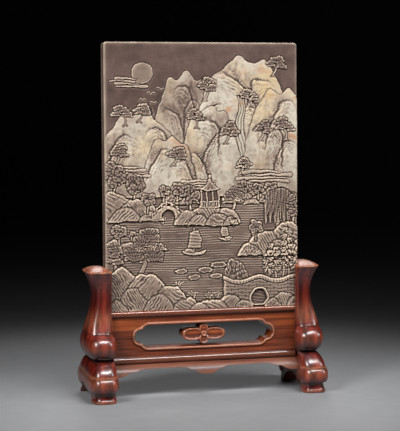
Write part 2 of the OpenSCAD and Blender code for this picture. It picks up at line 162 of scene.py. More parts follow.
# short names for building a material's nodes
class Nodes:
    def __init__(self, name):
        self.material = bpy.data.materials.new(name)
        self.material.use_nodes = True
        self.tree = self.material.node_tree
        self.shader = self.tree.nodes["Principled BSDF"]

    def add(self, kind, inputs=None, **settings):
        node = self.tree.nodes.new("ShaderNode" + kind)
        for key, value in settings.items():
            setattr(node, key, value)
        for key, value in (inputs or {}).items():
            self.feed(node.inputs[key], value)
        return node

    def feed(self, socket, value):
        if isinstance(value, bpy.types.NodeSocket):
            self.tree.links.new(value, socket)
        else:
            socket.default_value = value

    def objectPoints(self, scale, shift=(0, 0, 0), turn=(0, 0, 0)):
        coords = self.add("TexCoord").outputs["Object"]
        return self.add("Mapping", {"Vector": coords, "Scale": scale, "Location": shift,
                                    "Rotation": turn}).outputs["Vector"]

    def noise(self, points, scale=1.0, detail=3.0, rough=0.55, warp=0.0):
        return self.add("TexNoise", {"Vector": points, "Scale": scale, "Detail": detail,
                                     "Roughness": rough, "Distortion": warp}).outputs["Fac"]

    def math(self, kind, a, b=0.0, c=0.0, clamp=False):
        return self.add("Math", {0: a, 1: b, 2: c}, operation=kind, use_clamp=clamp).outputs[0]

    def ramp(self, fac, stops):
        node = self.add("ValToRGB", {"Fac": fac})
        band = node.color_ramp
        while len(band.elements) < len(stops):
            band.elements.new(0.5)
        for element, (place, colour) in zip(band.elements, stops):
            element.position = place
            element.color = (*colour, 1) if len(colour) == 3 else colour
        return node.outputs["Color"]

    def blend(self, fac, a, b, kind="MIX"):
        node = self.add("Mix", {"Factor": fac}, data_type="RGBA", blend_type=kind)
        self.feed(node.inputs[6], a)
        self.feed(node.inputs[7], b)
        return node.outputs[2]

    def span(self, value, low, high, toLow=0.0, toHigh=1.0):
        return self.add("MapRange", {"Value": value, "From Min": low, "From Max": high,
                                     "To Min": toLow, "To Max": toHigh}, clamp=True).outputs[0]

    def mark(self, name):
        return self.add("Attribute", attribute_name=name).outputs["Fac"]

    def bump(self, height, strength, depth, under=None):
        node = self.add("Bump", {"Height": height, "Strength": strength, "Distance": depth})
        if under is not None:
            self.feed(node.inputs["Normal"], under)
        return node.outputs["Normal"]


# how often each noise changes in a metre, across the grain and along it
grainSizes = dict(drift=(30, 6), fibres=(900, 26), streaks=(230, 6), pores=(2600, 190), rings=(1, 0.035))


# oiled rosewood: growth rings about an axis far off the piece, long fibres, dark pores,
# a slow change of tone, painted shade in creases, recesses and undersides, and a lighter colour that is
# wear on rubbed edges and, on the posts, feet and bead, a painted highlight
def rosewood(name, s):
    n = Nodes(name)
    along = s["grain"]                          # 0, 1 or 2: the axis the grain follows
    def stretched(across, length, shift=(0, 0, 0)):
        scale = [across] * 3
        scale[along] = length
        return n.objectPoints(tuple(scale), shift)
    drift = n.noise(stretched(*grainSizes["drift"]), detail=2)
    rings = n.add("TexWave", {"Vector": stretched(*grainSizes["rings"], s["pith"]), "Scale": s["ringScale"],
                              "Distortion": 5.0, "Detail": 3.0, "Detail Scale": 14.0,
                              "Detail Roughness": 0.62},
                  wave_type="RINGS", rings_direction="XYZ"[along]).outputs["Fac"]
    fibres = n.noise(stretched(*grainSizes["fibres"]), detail=5, rough=0.65)
    streaks = n.noise(stretched(*grainSizes["streaks"]), detail=4, rough=0.6, warp=0.3)
    pores = n.noise(stretched(*grainSizes["pores"]), detail=2, rough=0.5)
    poreMask = n.span(pores, 0.63, 0.70)
    tone = n.math("MULTIPLY_ADD", rings, s["ringShare"], n.math("MULTIPLY", streaks, s["streakShare"]))
    tone = n.math("MULTIPLY_ADD", fibres, s["fibreShare"], tone)
    colour = n.ramp(tone, s["stops"])
    colour = n.blend(n.span(drift, 0.35, 0.7, 0, s["drift"]), colour, (*s["driftColour"], 1), "MULTIPLY")
    colour = n.blend(n.math("MULTIPLY", poreMask, 0.55), colour, (*s["poreColour"], 1))
    # painted shade: the deep mark darkens the wood where shade falls, in creases, recesses and undersides
    colour = n.blend(n.mark("deep"), colour, (*s["paintedShadeColour"], 1), "MULTIPLY")
    # lighter where rubbed: wear on edges, and a painted highlight on the posts' and feet's lit tops, bulges
    # and rims and on the bead
    wearAndHighlight = n.math("MULTIPLY", n.mark("wearAndHighlight"), n.span(streaks, 0.3, 0.65, 0.35, 1.0))
    colour = n.blend(wearAndHighlight, colour, (*s["wornAndLitColour"], 1))
    n.feed(n.shader.inputs["Base Color"], colour)
    rough = n.math("ADD", n.span(streaks, 0.3, 0.7, s["gloss"], s["gloss"] + 0.1),
                   n.math("MULTIPLY", poreMask, 0.18))
    n.feed(n.shader.inputs["Roughness"], n.math("MULTIPLY_ADD", n.mark("wearAndHighlight"), 0.08, rough))
    grainBump = n.bump(fibres, 0.22, 0.0002)
    n.feed(n.shader.inputs["Normal"], n.bump(poreMask, 0.25, -0.0002, grainBump))
    n.shader.inputs["Specular IOR Level"].default_value = 0.2
    # the wax coat thins out where the mark of wear and highlight is high; its roughness is one value
    n.feed(n.shader.inputs["Coat Weight"], n.span(n.mark("wearAndHighlight"), 0.0, 0.6, s["coat"], s["rubCoat"]))
    n.shader.inputs["Coat Roughness"].default_value = s["coatRough"]
    n.shader.inputs["Coat IOR"].default_value = 1.6
    return n.material


redWood = rosewood("red_rosewood", dict(
    grain=2, pith=(0.031, 0.047, 0.0), ringScale=26.0, ringShare=0.22, streakShare=0.46, fibreShare=0.32,
    stops=[(0.27, (0.028, 0.003, 0.002)), (0.46, (0.108, 0.008, 0.005)), (0.60, (0.220, 0.022, 0.010)),
           (0.82, (0.42, 0.072, 0.024))],
    drift=0.6, driftColour=(0.36, 0.24, 0.22), poreColour=(0.02, 0.005, 0.003), paintedShadeColour=(0.13, 0.085, 0.08),
    wornAndLitColour=(0.55, 0.235, 0.12), gloss=0.36, coat=1.0, rubCoat=0.2, coatRough=0.25))
brownWood = rosewood("brown_rosewood", dict(
    grain=0, pith=(0.0, 0.061, -0.043), ringScale=24.0, ringShare=0.16, streakShare=0.36, fibreShare=0.48,
    stops=[(0.32, (0.030, 0.006, 0.003)), (0.46, (0.140, 0.027, 0.008)), (0.58, (0.265, 0.057, 0.014)),
           (0.74, (0.45, 0.125, 0.034))],
    drift=0.5, driftColour=(0.46, 0.35, 0.3), poreColour=(0.03, 0.009, 0.005), paintedShadeColour=(0.22, 0.17, 0.15),
    wornAndLitColour=(0.52, 0.225, 0.125), gloss=0.38, coat=0.9, rubCoat=0.54, coatRough=0.23))
darkSet = dict(
    grain=0, pith=(0.0, 0.052, -0.067), ringScale=26.0, ringShare=0.2, streakShare=0.42, fibreShare=0.38,
    stops=[(0.29, (0.028, 0.006, 0.003)), (0.46, (0.086, 0.015, 0.006)), (0.60, (0.155, 0.030, 0.010)),
           (0.80, (0.26, 0.064, 0.020))],
    drift=0.5, driftColour=(0.46, 0.34, 0.3), poreColour=(0.016, 0.006, 0.004), paintedShadeColour=(0.22, 0.17, 0.15),
    wornAndLitColour=(0.46, 0.17, 0.068), gloss=0.32, coat=1.0, rubCoat=0.6, coatRough=0.19)
darkWood = rosewood("dark_rosewood", darkSet)
# painted light: the aprons' wood is the dark rosewood painted lighter and greyer, as the aprons catch light
# from above, with a thinner, rougher coat
dullLitWood = rosewood("dull_lit_rosewood", dict(
    darkSet, driftColour=(0.46, 0.38, 0.34), poreColour=(0.02, 0.009, 0.006),
    stops=[(0.29, (0.044, 0.014, 0.009)), (0.46, (0.110, 0.034, 0.019)), (0.60, (0.180, 0.062, 0.036)),
           (0.80, (0.28, 0.110, 0.068))],
    wornAndLitColour=(0.44, 0.24, 0.16), gloss=0.45, coat=0.5, rubCoat=0.3, coatRough=0.36))
print("woods ready")


# a profile sampled evenly along its length, then softened, so its creases get a small radius
def evenProfile(parts, step, soften):
    def gaps(path):
        return np.linalg.norm(np.diff(path[:, :3], axis=0), axis=1)
    path = np.concatenate(parts)
    path = path[np.r_[True, gaps(path) > 1e-9]]
    along = np.r_[0, np.cumsum(gaps(path))]
    finest = 0.1
    fine = np.linspace(0, along[-1], int(along[-1] / finest) + 1)
    even = np.stack([np.interp(fine, along, path[:, k]) for k in range(path.shape[1])], -1)
    reach = int(soften / finest)
    kernel = np.hanning(2 * reach + 3)
    kernel /= kernel.sum()
    padded = np.pad(even, ((reach + 1, reach + 1), (0, 0)), "reflect", reflect_type="odd")
    soft = np.stack([np.convolve(padded[:, k], kernel, "valid") for k in range(even.shape[1])], -1)
    count = int(along[-1] / step) + 1
    return np.stack([np.interp(np.linspace(0, along[-1], count), fine, soft[:, k])
                     for k in range(even.shape[1])], -1)


# points of level rings round a post or foot: a rounded square whose corners follow
# |c|^n + |s|^n = 1, with n two over the roundness; the inner face is flat where the rails and the
# panel meet it and swells inwards in front of and behind them; the profile's columns are height,
# half depth, thickness, roundness, swell and the inner face's set-back
def carvedRings(profile, around, flatHalf, flatBite, lipWide=5.0):
    z, half, thick, rounding, bulge, inset = (profile[:, k][:, None] for k in range(6))
    turn = ringTurns(around)
    n = 2 / rounding
    reach = (np.abs(np.cos(turn)) ** n + np.abs(np.sin(turn)) ** n) ** (-1 / n)
    c, s = reach * np.cos(turn), reach * np.sin(turn)
    middle, v = (thick - inset) / 2, half * s
    lip = bulge * smoothStep(flatHalf, flatHalf + lipWide, np.abs(v))
    u = inset + np.maximum(-lip, middle + c * np.where(c < 0, middle + flatBite * thick + bulge, middle))
    return u, v, z + 0 * c, c


postShape = dict(                # half depth, thickness, roundness and inward swell at each place
    footTop=40.0, bellyZ=53.0, creaseZ=64.5, neckZ=99.5, rimZ=125.5, crown=4.5,
    rim=(24.0, 24.5, 0.55, 0.0), neck=(17.0, 16.5, 0.37, 0.0), creaseHalf=23.5,
    belly=(35.0, 27.0, 0.6, 3.0), waist=(26.0, 18.5, 0.55, 0.0), creaseTurn=68.0,
    flarePower=2.3, sweepPower=2.0, flatHalf=14.5, flatBite=0.06,
    creaseArc=4.2, creaseReach=7.0, creaseLevel=0.35, around=136, step=0.8, soften=0.8,
    lipRings=(0.992, 0.975), domeRings=(0.95, 0.06, 26), lipHigh=0.55, lipRound=0.012,
    grooveHalf=10.3, grooveDeep=4.3, seatZ=83.5, sunk=6.0,
    wornAndLitAt=[(0.6, 125.8, 1.1), (0.12, 53.0, 6.0), (0.22, 77.5, 9.0)], domeWornAndLit=0.45,
    paintedShadeAt=[(0.8, 65.5, 0.9)], underBellyShade=0.95, underRimShade=0.36)


# a post: quarter-ellipse swell from the waist to the belly, a break at the crease in the half depth
# only, a sweep to the neck, a power-curve flare to the rim and a shallow dome
def postProfile(p):
    waist, belly, neck, rim = (np.array(p[k]) for k in ("waist", "belly", "neck", "rim"))
    a, s = steps(60) * np.pi / 2, steps(80)
    foot = np.array([[p["footTop"] - p["sunk"], *waist]])
    swellUp = np.hstack([mix(p["bellyZ"], p["footTop"], np.cos(a)), mix(waist, belly, np.sin(a))])
    def between(z, half, bulge):                # thickness and roundness drift evenly from belly to neck
        share = (1 - np.cos(np.pi * (z - p["bellyZ"]) / (p["neckZ"] - p["bellyZ"]))) / 2
        return np.hstack([z, half, mix(belly[1:3], neck[1:3], share), bulge])
    last = np.radians(p["creaseTurn"])
    turn = steps(60) * last
    share = (np.cos(turn) - np.cos(last)) / (1 - np.cos(last))
    breakIn = between(mix(p["bellyZ"], p["creaseZ"], np.sin(turn) / np.sin(last)),
                      mix(p["creaseHalf"], belly[0], share), belly[3] * share)
    sweep = between(mix(p["creaseZ"], p["neckZ"], s),
                    mix(neck[0], p["creaseHalf"], (1 - s) ** p["sweepPower"]), 0 * s)
    flare = np.hstack([mix(p["neckZ"], p["rimZ"], s), mix(neck, rim, s ** p["flarePower"])])
    return [np.hstack([part, np.zeros((len(part), 1))]) for part in (foot, swellUp, breakIn, sweep, flare)]


def makePost(name, side):
    p = postShape
    profile = evenProfile(postProfile(p), p["step"], p["soften"])
    u, v, z, c = carvedRings(profile, p["around"], p["flatHalf"], p["flatBite"])
    arc = hump(z, p["creaseZ"], p["creaseReach"])      # the crease bows up in the middle of the front
    z = z + p["creaseArc"] * arc * (p["creaseLevel"] - c * c) * np.abs(v / p["belly"][0])
    # dome over the rim: rings drawn in towards the middle, over a small round lip
    s = np.r_[p["lipRings"], np.linspace(*p["domeRings"])][:, None]
    middle = p["rim"][1] / 2
    lift = p["crown"] * (1 - s * s) + p["lipHigh"] * (1 - np.exp(-(1 - s) / p["lipRound"]))
    top = [mix(middle, u[-1][None, :], s), v[-1][None, :] * s, p["rimZ"] + lift + 0 * u[-1][None, :]]
    u, v, z = (np.vstack([wall, cap]) for wall, cap in zip((u, v, z), top))
    # lighter on the rim, the dome, the belly and the neck: worn by hands, and a painted highlight where light
    # falls; painted shade under the belly, in the crease and below the rim
    wearAndHighlight = humps(z, p["wornAndLitAt"]) + p["domeWornAndLit"] * smoothStep(p["rimZ"] + 0.8, p["rimZ"] + 3, z)
    underRim = smoothStep(-p["rimZ"] + 0.2, -p["rimZ"] + 2.5, -z)
    deep = humps(z, p["paintedShadeAt"]) + p["underBellyShade"] * smoothStep(-p["bellyZ"] - 2, -p["footTop"] - 1, -z)
    deep += p["underRimShade"] * smoothStep(p["neckZ"] - 22, p["neckZ"] + 2, z) * underRim
    obj = makeTube(name, np.stack([side * (innerX + u), v, z], -1),
                   marks={"wearAndHighlight": wearAndHighlight, "deep": np.clip(deep, 0, 1)})
    low = [innerX - 1, -p["grooveHalf"], p["seatZ"]]
    high = [innerX + p["grooveDeep"], p["grooveHalf"], p["rimZ"] + 20]
    low[0], high[0] = sorted((side * low[0], side * high[0]))
    cutAway(obj, [makeBlock("groove", low, high)])
    return obj


bothSides(makePost, ("left_vase_post", "right_vase_post"), "stand", "{}_post", redWood)
print("posts done")

footShape = dict(
    padHeight=2.5, padChamfer=0.7, padInset=0.2, ankleZ=9.5, toeZ=16.5, shoulderZ=25.5, topZ=40.0,
    pad=(45.0, 25.0, 0.45, 0.0), ankle=(42.5, 24.0, 0.45, 0.0), toe=(49.0, 27.5, 0.5, 2.0),
    shoulder=(43.0, 26.0, 0.5, 1.0), waist=(26.0, 18.5, 0.55, 0.0),
    shoulderPower=0.6, sweepPower=1.5, flatHalf=27.0, flatBite=0.06, archHeight=15.5, archHalf=31.0,
    archSteps=120, archEnds=(-5.0, 40.0), around=140, step=0.8, soften=0.6,
    wornAndLitAt=[(0.3, 25.5, 1.6), (0.2, 19.5, 4.0), (0.35, 1.5, 1.3)],
    footShade=0.2, paintedShadeAt=[(0.8, 9.5, 2.4), (0.5, 24.3, 1.0)], waistShade=3.5)


# a bridge foot: pads, a waist over them, full toes, a break at the shoulder, then a hollow sweep up
# to the post; every curve is a quarter ellipse except the last, which is a power curve
def footProfile(f):
    pad, ankle, toe, shoulder, waist = (np.array(f[k]) for k in ("pad", "ankle", "toe", "shoulder", "waist"))
    s = steps(50)
    a, zero = s * np.pi / 2, 0 * s
    chamfer = f["padChamfer"]
    under = np.array([[0, *(pad - [chamfer, chamfer, 0, 0]), f["padInset"] + chamfer],
                      [chamfer, *pad, f["padInset"]], [f["padHeight"], *pad, f["padInset"]]])
    hollow = np.hstack([mix(f["padHeight"], f["ankleZ"], 1 - np.cos(a)), mix(pad, ankle, np.sin(a)),
                        f["padInset"] * np.cos(a)])
    instep = np.hstack([mix(f["ankleZ"], f["toeZ"], 1 - np.cos(a)), mix(ankle, toe, np.sin(a)), zero])
    bulge = np.hstack([mix(f["toeZ"], f["shoulderZ"], np.sin(a)), mix(shoulder, toe, np.cos(a)), zero])
    drawnIn = (1 - s ** f["sweepPower"]) ** f["shoulderPower"]
    sweep = np.hstack([mix(f["shoulderZ"], f["topZ"], s), mix(waist, shoulder, drawnIn), zero])
    return [under, hollow, instep, bulge, sweep]


def makeFoot(name, side):
    f = footShape
    profile = evenProfile(footProfile(f), f["step"], f["soften"])
    profile[0, 0] = 0
    u, v, z, c = carvedRings(profile, f["around"], f["flatHalf"], f["flatBite"])
    # painted shade on the feet: all a little darker, and more at the ankle, under the shoulder and up under
    # the belly
    deep = f["footShade"] + humps(z, f["paintedShadeAt"]) + smoothStep(f["topZ"] - f["waistShade"], f["topZ"], z)
    # lighter at the shoulder, the toe and the pad's lower edge: wear, and a painted highlight
    obj = makeTube(name, np.stack([side * (innerX + u), v, z], -1),
                   marks={"wearAndHighlight": humps(z, f["wornAndLitAt"]), "deep": np.clip(deep, 0, 1)})
    # arch: a round bar along x whose top is archHeight over the table
    radius = (f["archHalf"] ** 2 + f["archHeight"] ** 2) / (2 * f["archHeight"])
    turn = ringTurns(f["archSteps"])
    ends = innerX + np.array(f["archEnds"])[:, None]
    bar = np.stack([side * ends + 0 * turn, radius * np.cos(turn) + 0 * ends,
                    f["archHeight"] - radius + radius * np.sin(turn) + 0 * ends], -1)
    cutAway(obj, [makeTube("arch", bar)])
    return obj


bothSides(makeFoot, ("left_bridge_foot", "right_bridge_foot"), "stand", "{}_foot", redWood)
print("feet done")

railShape = dict(depth=27.0, topZ=79.5, topHeight=6.0, bottomZ=32.5, bottomHeight=7.0,
                 seatHalf=10.3, seatDeep=2.0, seatEase=0.35, tenon=3.0, segments=48, noseSteps=25,
                 waver=0.06, waverTurn=0.11, worn=0.15, wornWide=1.2)


# a rail: a flat bar with half-round noses, as a closed outline in y and z carried along x
def makeRail(name, z0, height, seat):
    r = railShape
    radius = height / 2
    nose = r["depth"] / 2 - radius
    a = np.linspace(-np.pi / 2, np.pi / 2, r["noseSteps"])
    front = np.c_[-nose - radius * np.cos(a), z0 + radius + radius * np.sin(a)]
    back = np.c_[nose + radius * np.cos(a[::-1]), z0 + radius + radius * np.sin(a[::-1])]
    top = np.empty((0, 2))
    if seat:
        w, t, d, e = r["seatHalf"], z0 + height, z0 + height - r["seatDeep"], r["seatEase"]
        top = np.array([[-w - e, t], [-w, t - e], [-w, d], [w, d], [w, t - e], [w + e, t]])
    outline = np.concatenate([front, top, back])
    x = np.linspace(-innerX - r["tenon"], innerX + r["tenon"], r["segments"])
    waver = r["waver"] * np.sin(x * r["waverTurn"])[:, None]        # hand-planed, so not dead straight
    points = np.stack([x[:, None] + 0 * outline[None, :, 0], outline[None, :, 0] + waver,
                       outline[None, :, 1] + (0 if seat else 0.5) * waver], -1)
    worn = r["worn"] * hump(outline[:, 0], -r["depth"] / 2, r["wornWide"])
    return makeTube(name, points, 34, {"wearAndHighlight": np.tile(worn, (r["segments"], 1))})


for level in ("top", "bottom"):
    rail = makeRail(level + "_rail_bar", railShape[level + "Z"], railShape[level + "Height"], level == "top")
    dress(rail, "stand", (level + "_rail",), darkWood)
print("rails done")

panelShape = dict(
    z0=39.5, height=40.0, thick=20.0, openLength=129.0, openHeight=23.0, cornerR=8.0, endR=7.0,
    bead=2.6, beadHigh=1.3, beadPower=0.8, beadSteps=15, beadWornAndLit=0.65, quirk=0.45, inSides=1.5, inRails=1.0,
    straight=90, cornerSteps=26, endSteps=48, mouthEase=0.6, quirkRise=0.05, quirkRows=(0.25, 0.6, 1.1, 1.5),
    flatRows=(0.35, 0.7, 1.0))


# outline of the opening, grown by d: straight top, corner arc down to where it meets the round end,
# the round end, and so on; each stretch keeps its count, so outlines of any d match point for point
def openingOutline(d):
    p = panelShape
    cx, cz = p["openLength"] / 2 - p["cornerR"], p["openHeight"] / 2 - p["cornerR"]
    ex, re, rc = p["openLength"] / 2, p["endR"] + d, p["cornerR"] + d
    # where the end circle meets the corner circle: two circles a known distance apart
    dx, dz = ex - cx, -cz
    gap = np.hypot(dx, dz)
    a = (rc ** 2 - re ** 2 + gap ** 2) / (2 * gap)
    h = np.sqrt(rc ** 2 - a ** 2)
    meetX, meetZ = cx + (a * dx - h * dz) / gap, cz + (a * dz + h * dx) / gap
    cornerTurn = np.arctan2(meetZ - cz, meetX - cx)
    endTurn = np.arctan2(meetZ, meetX - ex)
    top = np.linspace(-cx, cx, p["straight"], endpoint=False)
    t1 = np.linspace(np.pi / 2, cornerTurn, p["cornerSteps"], endpoint=False)
    t2 = np.linspace(endTurn, -endTurn, p["endSteps"], endpoint=False)
    t3 = np.linspace(-cornerTurn, -np.pi / 2, p["cornerSteps"], endpoint=False)
    right = np.concatenate([
        np.c_[top, np.full(len(top), cz + rc)],
        np.c_[cx + rc * np.cos(t1), cz + rc * np.sin(t1)],
        np.c_[ex + re * np.cos(t2), re * np.sin(t2)],
        np.c_[cx + rc * np.cos(t3), -cz + rc * np.sin(t3)]])
    return np.concatenate([right, -right])


# the panel is a closed band round its opening: over the front face, across the half-round bead,
# through the opening, back over the bead and the rear face, and round the rectangle's edge
def makePanel():
    p = panelShape
    middle = p["z0"] + p["height"] / 2
    halfX, halfZ, face = innerX + p["inSides"], p["height"] / 2 + p["inRails"], p["thick"] / 2
    a = np.linspace(0, np.pi, p["beadSteps"])
    w, quirk = p["bead"], p["quirk"]
    # rows over the front: how far outside the opening, and how far in front of the panel's middle
    offsets = np.r_[0, 0, 0, w / 2 - w / 2 * np.cos(a), w + np.array(p["quirkRows"])]
    bead = face + p["beadHigh"] * np.abs(np.sin(a)) ** p["beadPower"]
    depths = np.r_[0, face / 2, face - p["mouthEase"], bead, face - quirk, face - quirk,
                   face - p["quirkRise"], face]
    outlines = np.array([openingOutline(d) for d in offsets])
    # the rectangle's edge, hit by a ray from the middle through each point of the last outline
    last = outlines[-1]
    stretch = 1 / np.maximum(np.abs(last[:, 0]) / halfX, np.abs(last[:, 1]) / halfZ)
    edge = last * stretch[:, None]
    flat = np.array([mix(last, edge, s) for s in p["flatRows"]])
    outlines = np.concatenate([outlines, flat])
    depths = np.r_[depths, np.full(len(flat), face)]
    front = np.stack([outlines[..., 0], -depths[:, None] + 0 * outlines[..., 0],
                      middle + outlines[..., 1]], -1)
    back = front[::-1] * [1, -1, 1]
    band = np.concatenate([front, back[:-1]])
    count, cols = band.shape[:2]
    # the bead is lighter along its crown: wear, and a painted highlight
    beadWearAndHighlight = p["beadWornAndLit"] * hump(offsets, w / 2, 0.9) * (depths[:len(offsets)] > face)
    wearAndHighlight = np.r_[beadWearAndHighlight, np.zeros(len(flat))]
    wearAndHighlight = np.r_[wearAndHighlight, wearAndHighlight[::-1][:-1]][:, None] + 0 * band[..., 0]
    return makePiece("pierced_panel_board", band, gridQuads(count, cols, loopRows=True, loopCols=True),
                     sharpAngle=42, marks={"wearAndHighlight": wearAndHighlight})


panel = makePanel()
dress(panel, "stand", ("pierced_panel",), brownWood)
print("panel done")

flowerShape = dict(thick=18.0, centreZ=59.5, sideReach=22.0, sideWide=12.0, upReach=10.0, upWide=9.0,
                   square=2.6, rim=1.15, hollow=1.0, button=3.1, buttonHigh=1.2, dimple=1.9, dimpleR=1.15,
                   peg=1.6, pegEnd=12.6, pegSteps=24, around=480, across=52, raySteps=4000, edgeSteps=14,
                   edgeDrop=0.75, edgeWide=0.7, swell=0.7, groove=0.5, wallRows=7)


# four squarish oval petals round a button: the outline is the farthest point inside any of them along
# each ray, and the face dishes inside each petal's rim, which is a soft bead along the oval
def makeFlower():
    f = flowerShape
    turn = ringTurns(f["around"])[0]
    side, upright = (f["sideReach"], f["sideWide"]), (f["upReach"], f["upWide"])
    petals = [(0, *side), (np.pi, *side), (np.pi / 2, *upright), (-np.pi / 2, *upright)]
    def insidePetal(x, z, angle, reach, wide):      # depth inside a squarish oval, near enough
        px = np.abs(x * np.cos(angle) + z * np.sin(angle) - reach / 2) / (reach / 2)
        pz = np.abs(-x * np.sin(angle) + z * np.cos(angle)) / (wide / 2)
        return (1 - (px ** f["square"] + pz ** f["square"]) ** (1 / f["square"])) * wide / 2
    def insideAny(x, z):
        return np.max([insidePetal(x, z, *petal) for petal in petals], axis=0)
    ray = np.linspace(0, f["sideReach"], f["raySteps"])[:, None]
    outline = (ray * (insideAny(ray * np.cos(turn), ray * np.sin(turn)) >= 0)).max(axis=0)
    share = np.r_[np.linspace(0.02, 0.9, f["across"] - f["edgeSteps"]), np.linspace(0.915, 1, f["edgeSteps"])]
    share = share[:, None]
    x = share * outline * np.cos(turn)
    z = share * outline * np.sin(turn)
    depth = insideAny(x, z)
    rim = smoothStep(0, f["edgeWide"], depth) * f["edgeDrop"] - f["edgeDrop"]      # round outer edge
    dish = -f["hollow"] * smoothStep(f["rim"] * 0.7, f["rim"] + 1.1, depth)
    rise = f["swell"] * smoothStep(f["rim"] + 1, f["sideWide"] / 2, depth)         # the middle swells again
    r = np.hypot(x, z)
    button = smoothStep(f["button"], f["button"] - 0.9, r)
    cap = f["buttonHigh"] * np.sqrt(np.clip(1 - (r / (f["button"] * 1.25)) ** 2, 0, 1))
    cap = cap - f["dimple"] * hump(r, 0, f["dimpleR"])
    ring = -f["groove"] * hump(r, f["button"] + 0.45, 0.35)             # a fine groove round the button
    high = f["thick"] / 2 + (rim + dish + rise + ring) * (1 - button) + cap * button
    front = np.stack([x, -high, f["centreZ"] + z], -1)
    walls = np.linspace(1, -1, f["wallRows"] + 2)[1:-1, None] * (f["thick"] / 2 - f["edgeDrop"])
    wall = np.stack([x[-1] + 0 * walls, -walls + 0 * x[-1], f["centreZ"] + z[-1] + 0 * walls], -1)
    back = front[::-1] * [1, -1, 1]
    band = np.concatenate([front, wall, back])
    rimWear = 0.55 * hump(depth, f["rim"] * 0.6, 0.5) + 0.5 * button
    return makeTube("four_petal_flower", band, 50,
                    {"wearAndHighlight": np.concatenate([rimWear, 0 * wall[..., 0], rimWear[::-1]])})


# the peg through the flower: a round bar, circles of one radius along z, with its ends in the panel
def makePeg():
    f = flowerShape
    turn = ringTurns(f["pegSteps"])
    z = f["centreZ"] + np.linspace(-f["pegEnd"], f["pegEnd"], 3)[:, None]
    loop = np.stack([f["peg"] * np.cos(turn) + 0 * z, f["peg"] * np.sin(turn) + 0 * z, z + 0 * turn], -1)
    return makeTube("flower_peg", loop, 40, {"wearAndHighlight": 0 * loop[..., 0]})


for flowerPart in (makeFlower(), makePeg()):
    dress(flowerPart, "stand", ("flower_strut",), brownWood)
print("flower done")

apronShape = dict(railZ=32.5, backY=9.0, radius=12.5, thick=4.5, band=4.25, lobe=11.25, lobeHalf=22.0,
                  endLength=30.0, firstStep=0.4, stepShare=0.42, segments=380, arcSteps=22, into=1.5,
                  ease=0.45, worn=0.3, wornHigh=1.5)


# depth of an apron's lower edge under the rail: two rounded steps down to the middle lobe and to
# each end
def apronDepth(x):
    a = apronShape
    s = np.maximum.reduce([1 - np.abs(x) / a["lobeHalf"], 1 - (innerX - np.abs(x)) / a["endLength"], 0 * x])
    low = a["firstStep"] * np.sin(np.pi / 2 * s / a["stepShare"])
    high = mix(a["firstStep"], 1, np.sin(np.pi / 2 * np.minimum(1, (s - a["stepShare"]) / a["stepShare"])))
    return mix(a["band"], a["lobe"], np.where(s < a["stepShare"], low, high))


# an apron: a quarter-round strip, cut off below by the shaped edge; at each x the section is a
# closed loop, down the outer arc, round the lower edge and up the inner arc
def makeApron(name, side):
    a = apronShape
    x = np.linspace(-innerX - a["into"], innerX + a["into"], a["segments"])
    drop = apronDepth(np.clip(x, -innerX, innerX))
    outer, inner = a["radius"], a["radius"] - a["thick"]
    axisZ = a["railZ"] - outer
    edgeZ = a["railZ"] - drop
    s = np.linspace(0, 1, a["arcSteps"])[None, :]
    def arc(radius, lowZ, way):
        lowest = np.arcsin(np.clip((lowZ - axisZ) / radius, 0.001, 1))[:, None]
        turn = mix(np.pi / 2, lowest, s if way else s[:, ::-1])
        return np.stack([x[:, None] + 0 * turn, side * (a["backY"] + radius * np.cos(turn)),
                         axisZ + radius * np.sin(turn)], -1)
    ease = a["ease"]                                        # softened corners of the lower edge
    down = arc(outer, edgeZ + ease, True)
    up = arc(inner, np.minimum(edgeZ + ease, axisZ + inner - 0.02), False)
    outLow = arc(outer - ease, edgeZ, True)[:, -1:]
    inLow = arc(inner + ease, np.minimum(edgeZ, axisZ + inner - 0.02), True)[:, -1:]
    loop = np.concatenate([down, outLow, inLow, up], axis=1)
    low = np.clip(1 - (loop[..., 2] - edgeZ[:, None]) / a["wornHigh"], 0, 1)
    return makeTube(name, loop, 40, {"wearAndHighlight": a["worn"] * low})


for face, facing in (("front", -1), ("back", 1)):
    apron = makeApron(face + "_shaped_apron", facing)
    dress(apron, "stand", (face + "_apron",), dullLitWood)
print("aprons done")

# the slab's picture: heights in millimetres over the carved ground, and paleness from 0, the dark
# ground, to 1, the pale layer of the stone, both on one grid of x and height
slabShape = dict(width=198.0, height=267.5, footZ=83.5, backY=10.0, groundY=-7.0, relief=3.0, cornerR=3.0,
                 edgeR=1.3, splitY=-2.0, cols=472, rows=637, tiles=4, plainPale=0.05, backPale=0.2,
                 sideSteps=40, cornerSteps=12, bendSteps=7, wallRows=(1.5, 5.0))
slabW, slabH, reliefDeep = slabShape["width"], slabShape["height"], slabShape["relief"]
xLine = np.linspace(-slabW / 2, slabW / 2, slabShape["cols"])
hLine = np.linspace(0, slabH, slabShape["rows"])
pitch = xLine[1] - xLine[0]
picX, picH = np.meshgrid(xLine, hLine)


# smooth random hills: random heights on a lattice of the given cell, joined by soft ramps
def hills(x, h, cell, seed):
    side = 96
    heights = np.random.default_rng(seed).random((side, side))
    gx, gh = x / cell + 40, h / cell + 7
    ix, ih = np.floor(gx).astype(int), np.floor(gh).astype(int)
    tx, th = gx - ix, gh - ih
    tx, th = tx * tx * (3 - 2 * tx), th * th * (3 - 2 * th)
    at = lambda i, j: heights[i % side, j % side]
    return mix(mix(at(ih, ix), at(ih, ix + 1), tx), mix(at(ih + 1, ix), at(ih + 1, ix + 1), tx), th)


# hills with half-size and quarter-size hills on them, from about -0.5 to 0.5
def rugged(x, h, cell, seed):
    big, small, tiny = (hills(x, h, cell / k, seed + k) for k in (1, 2, 4))
    return (big + 0.5 * small + 0.25 * tiny) / 1.75 - 0.5


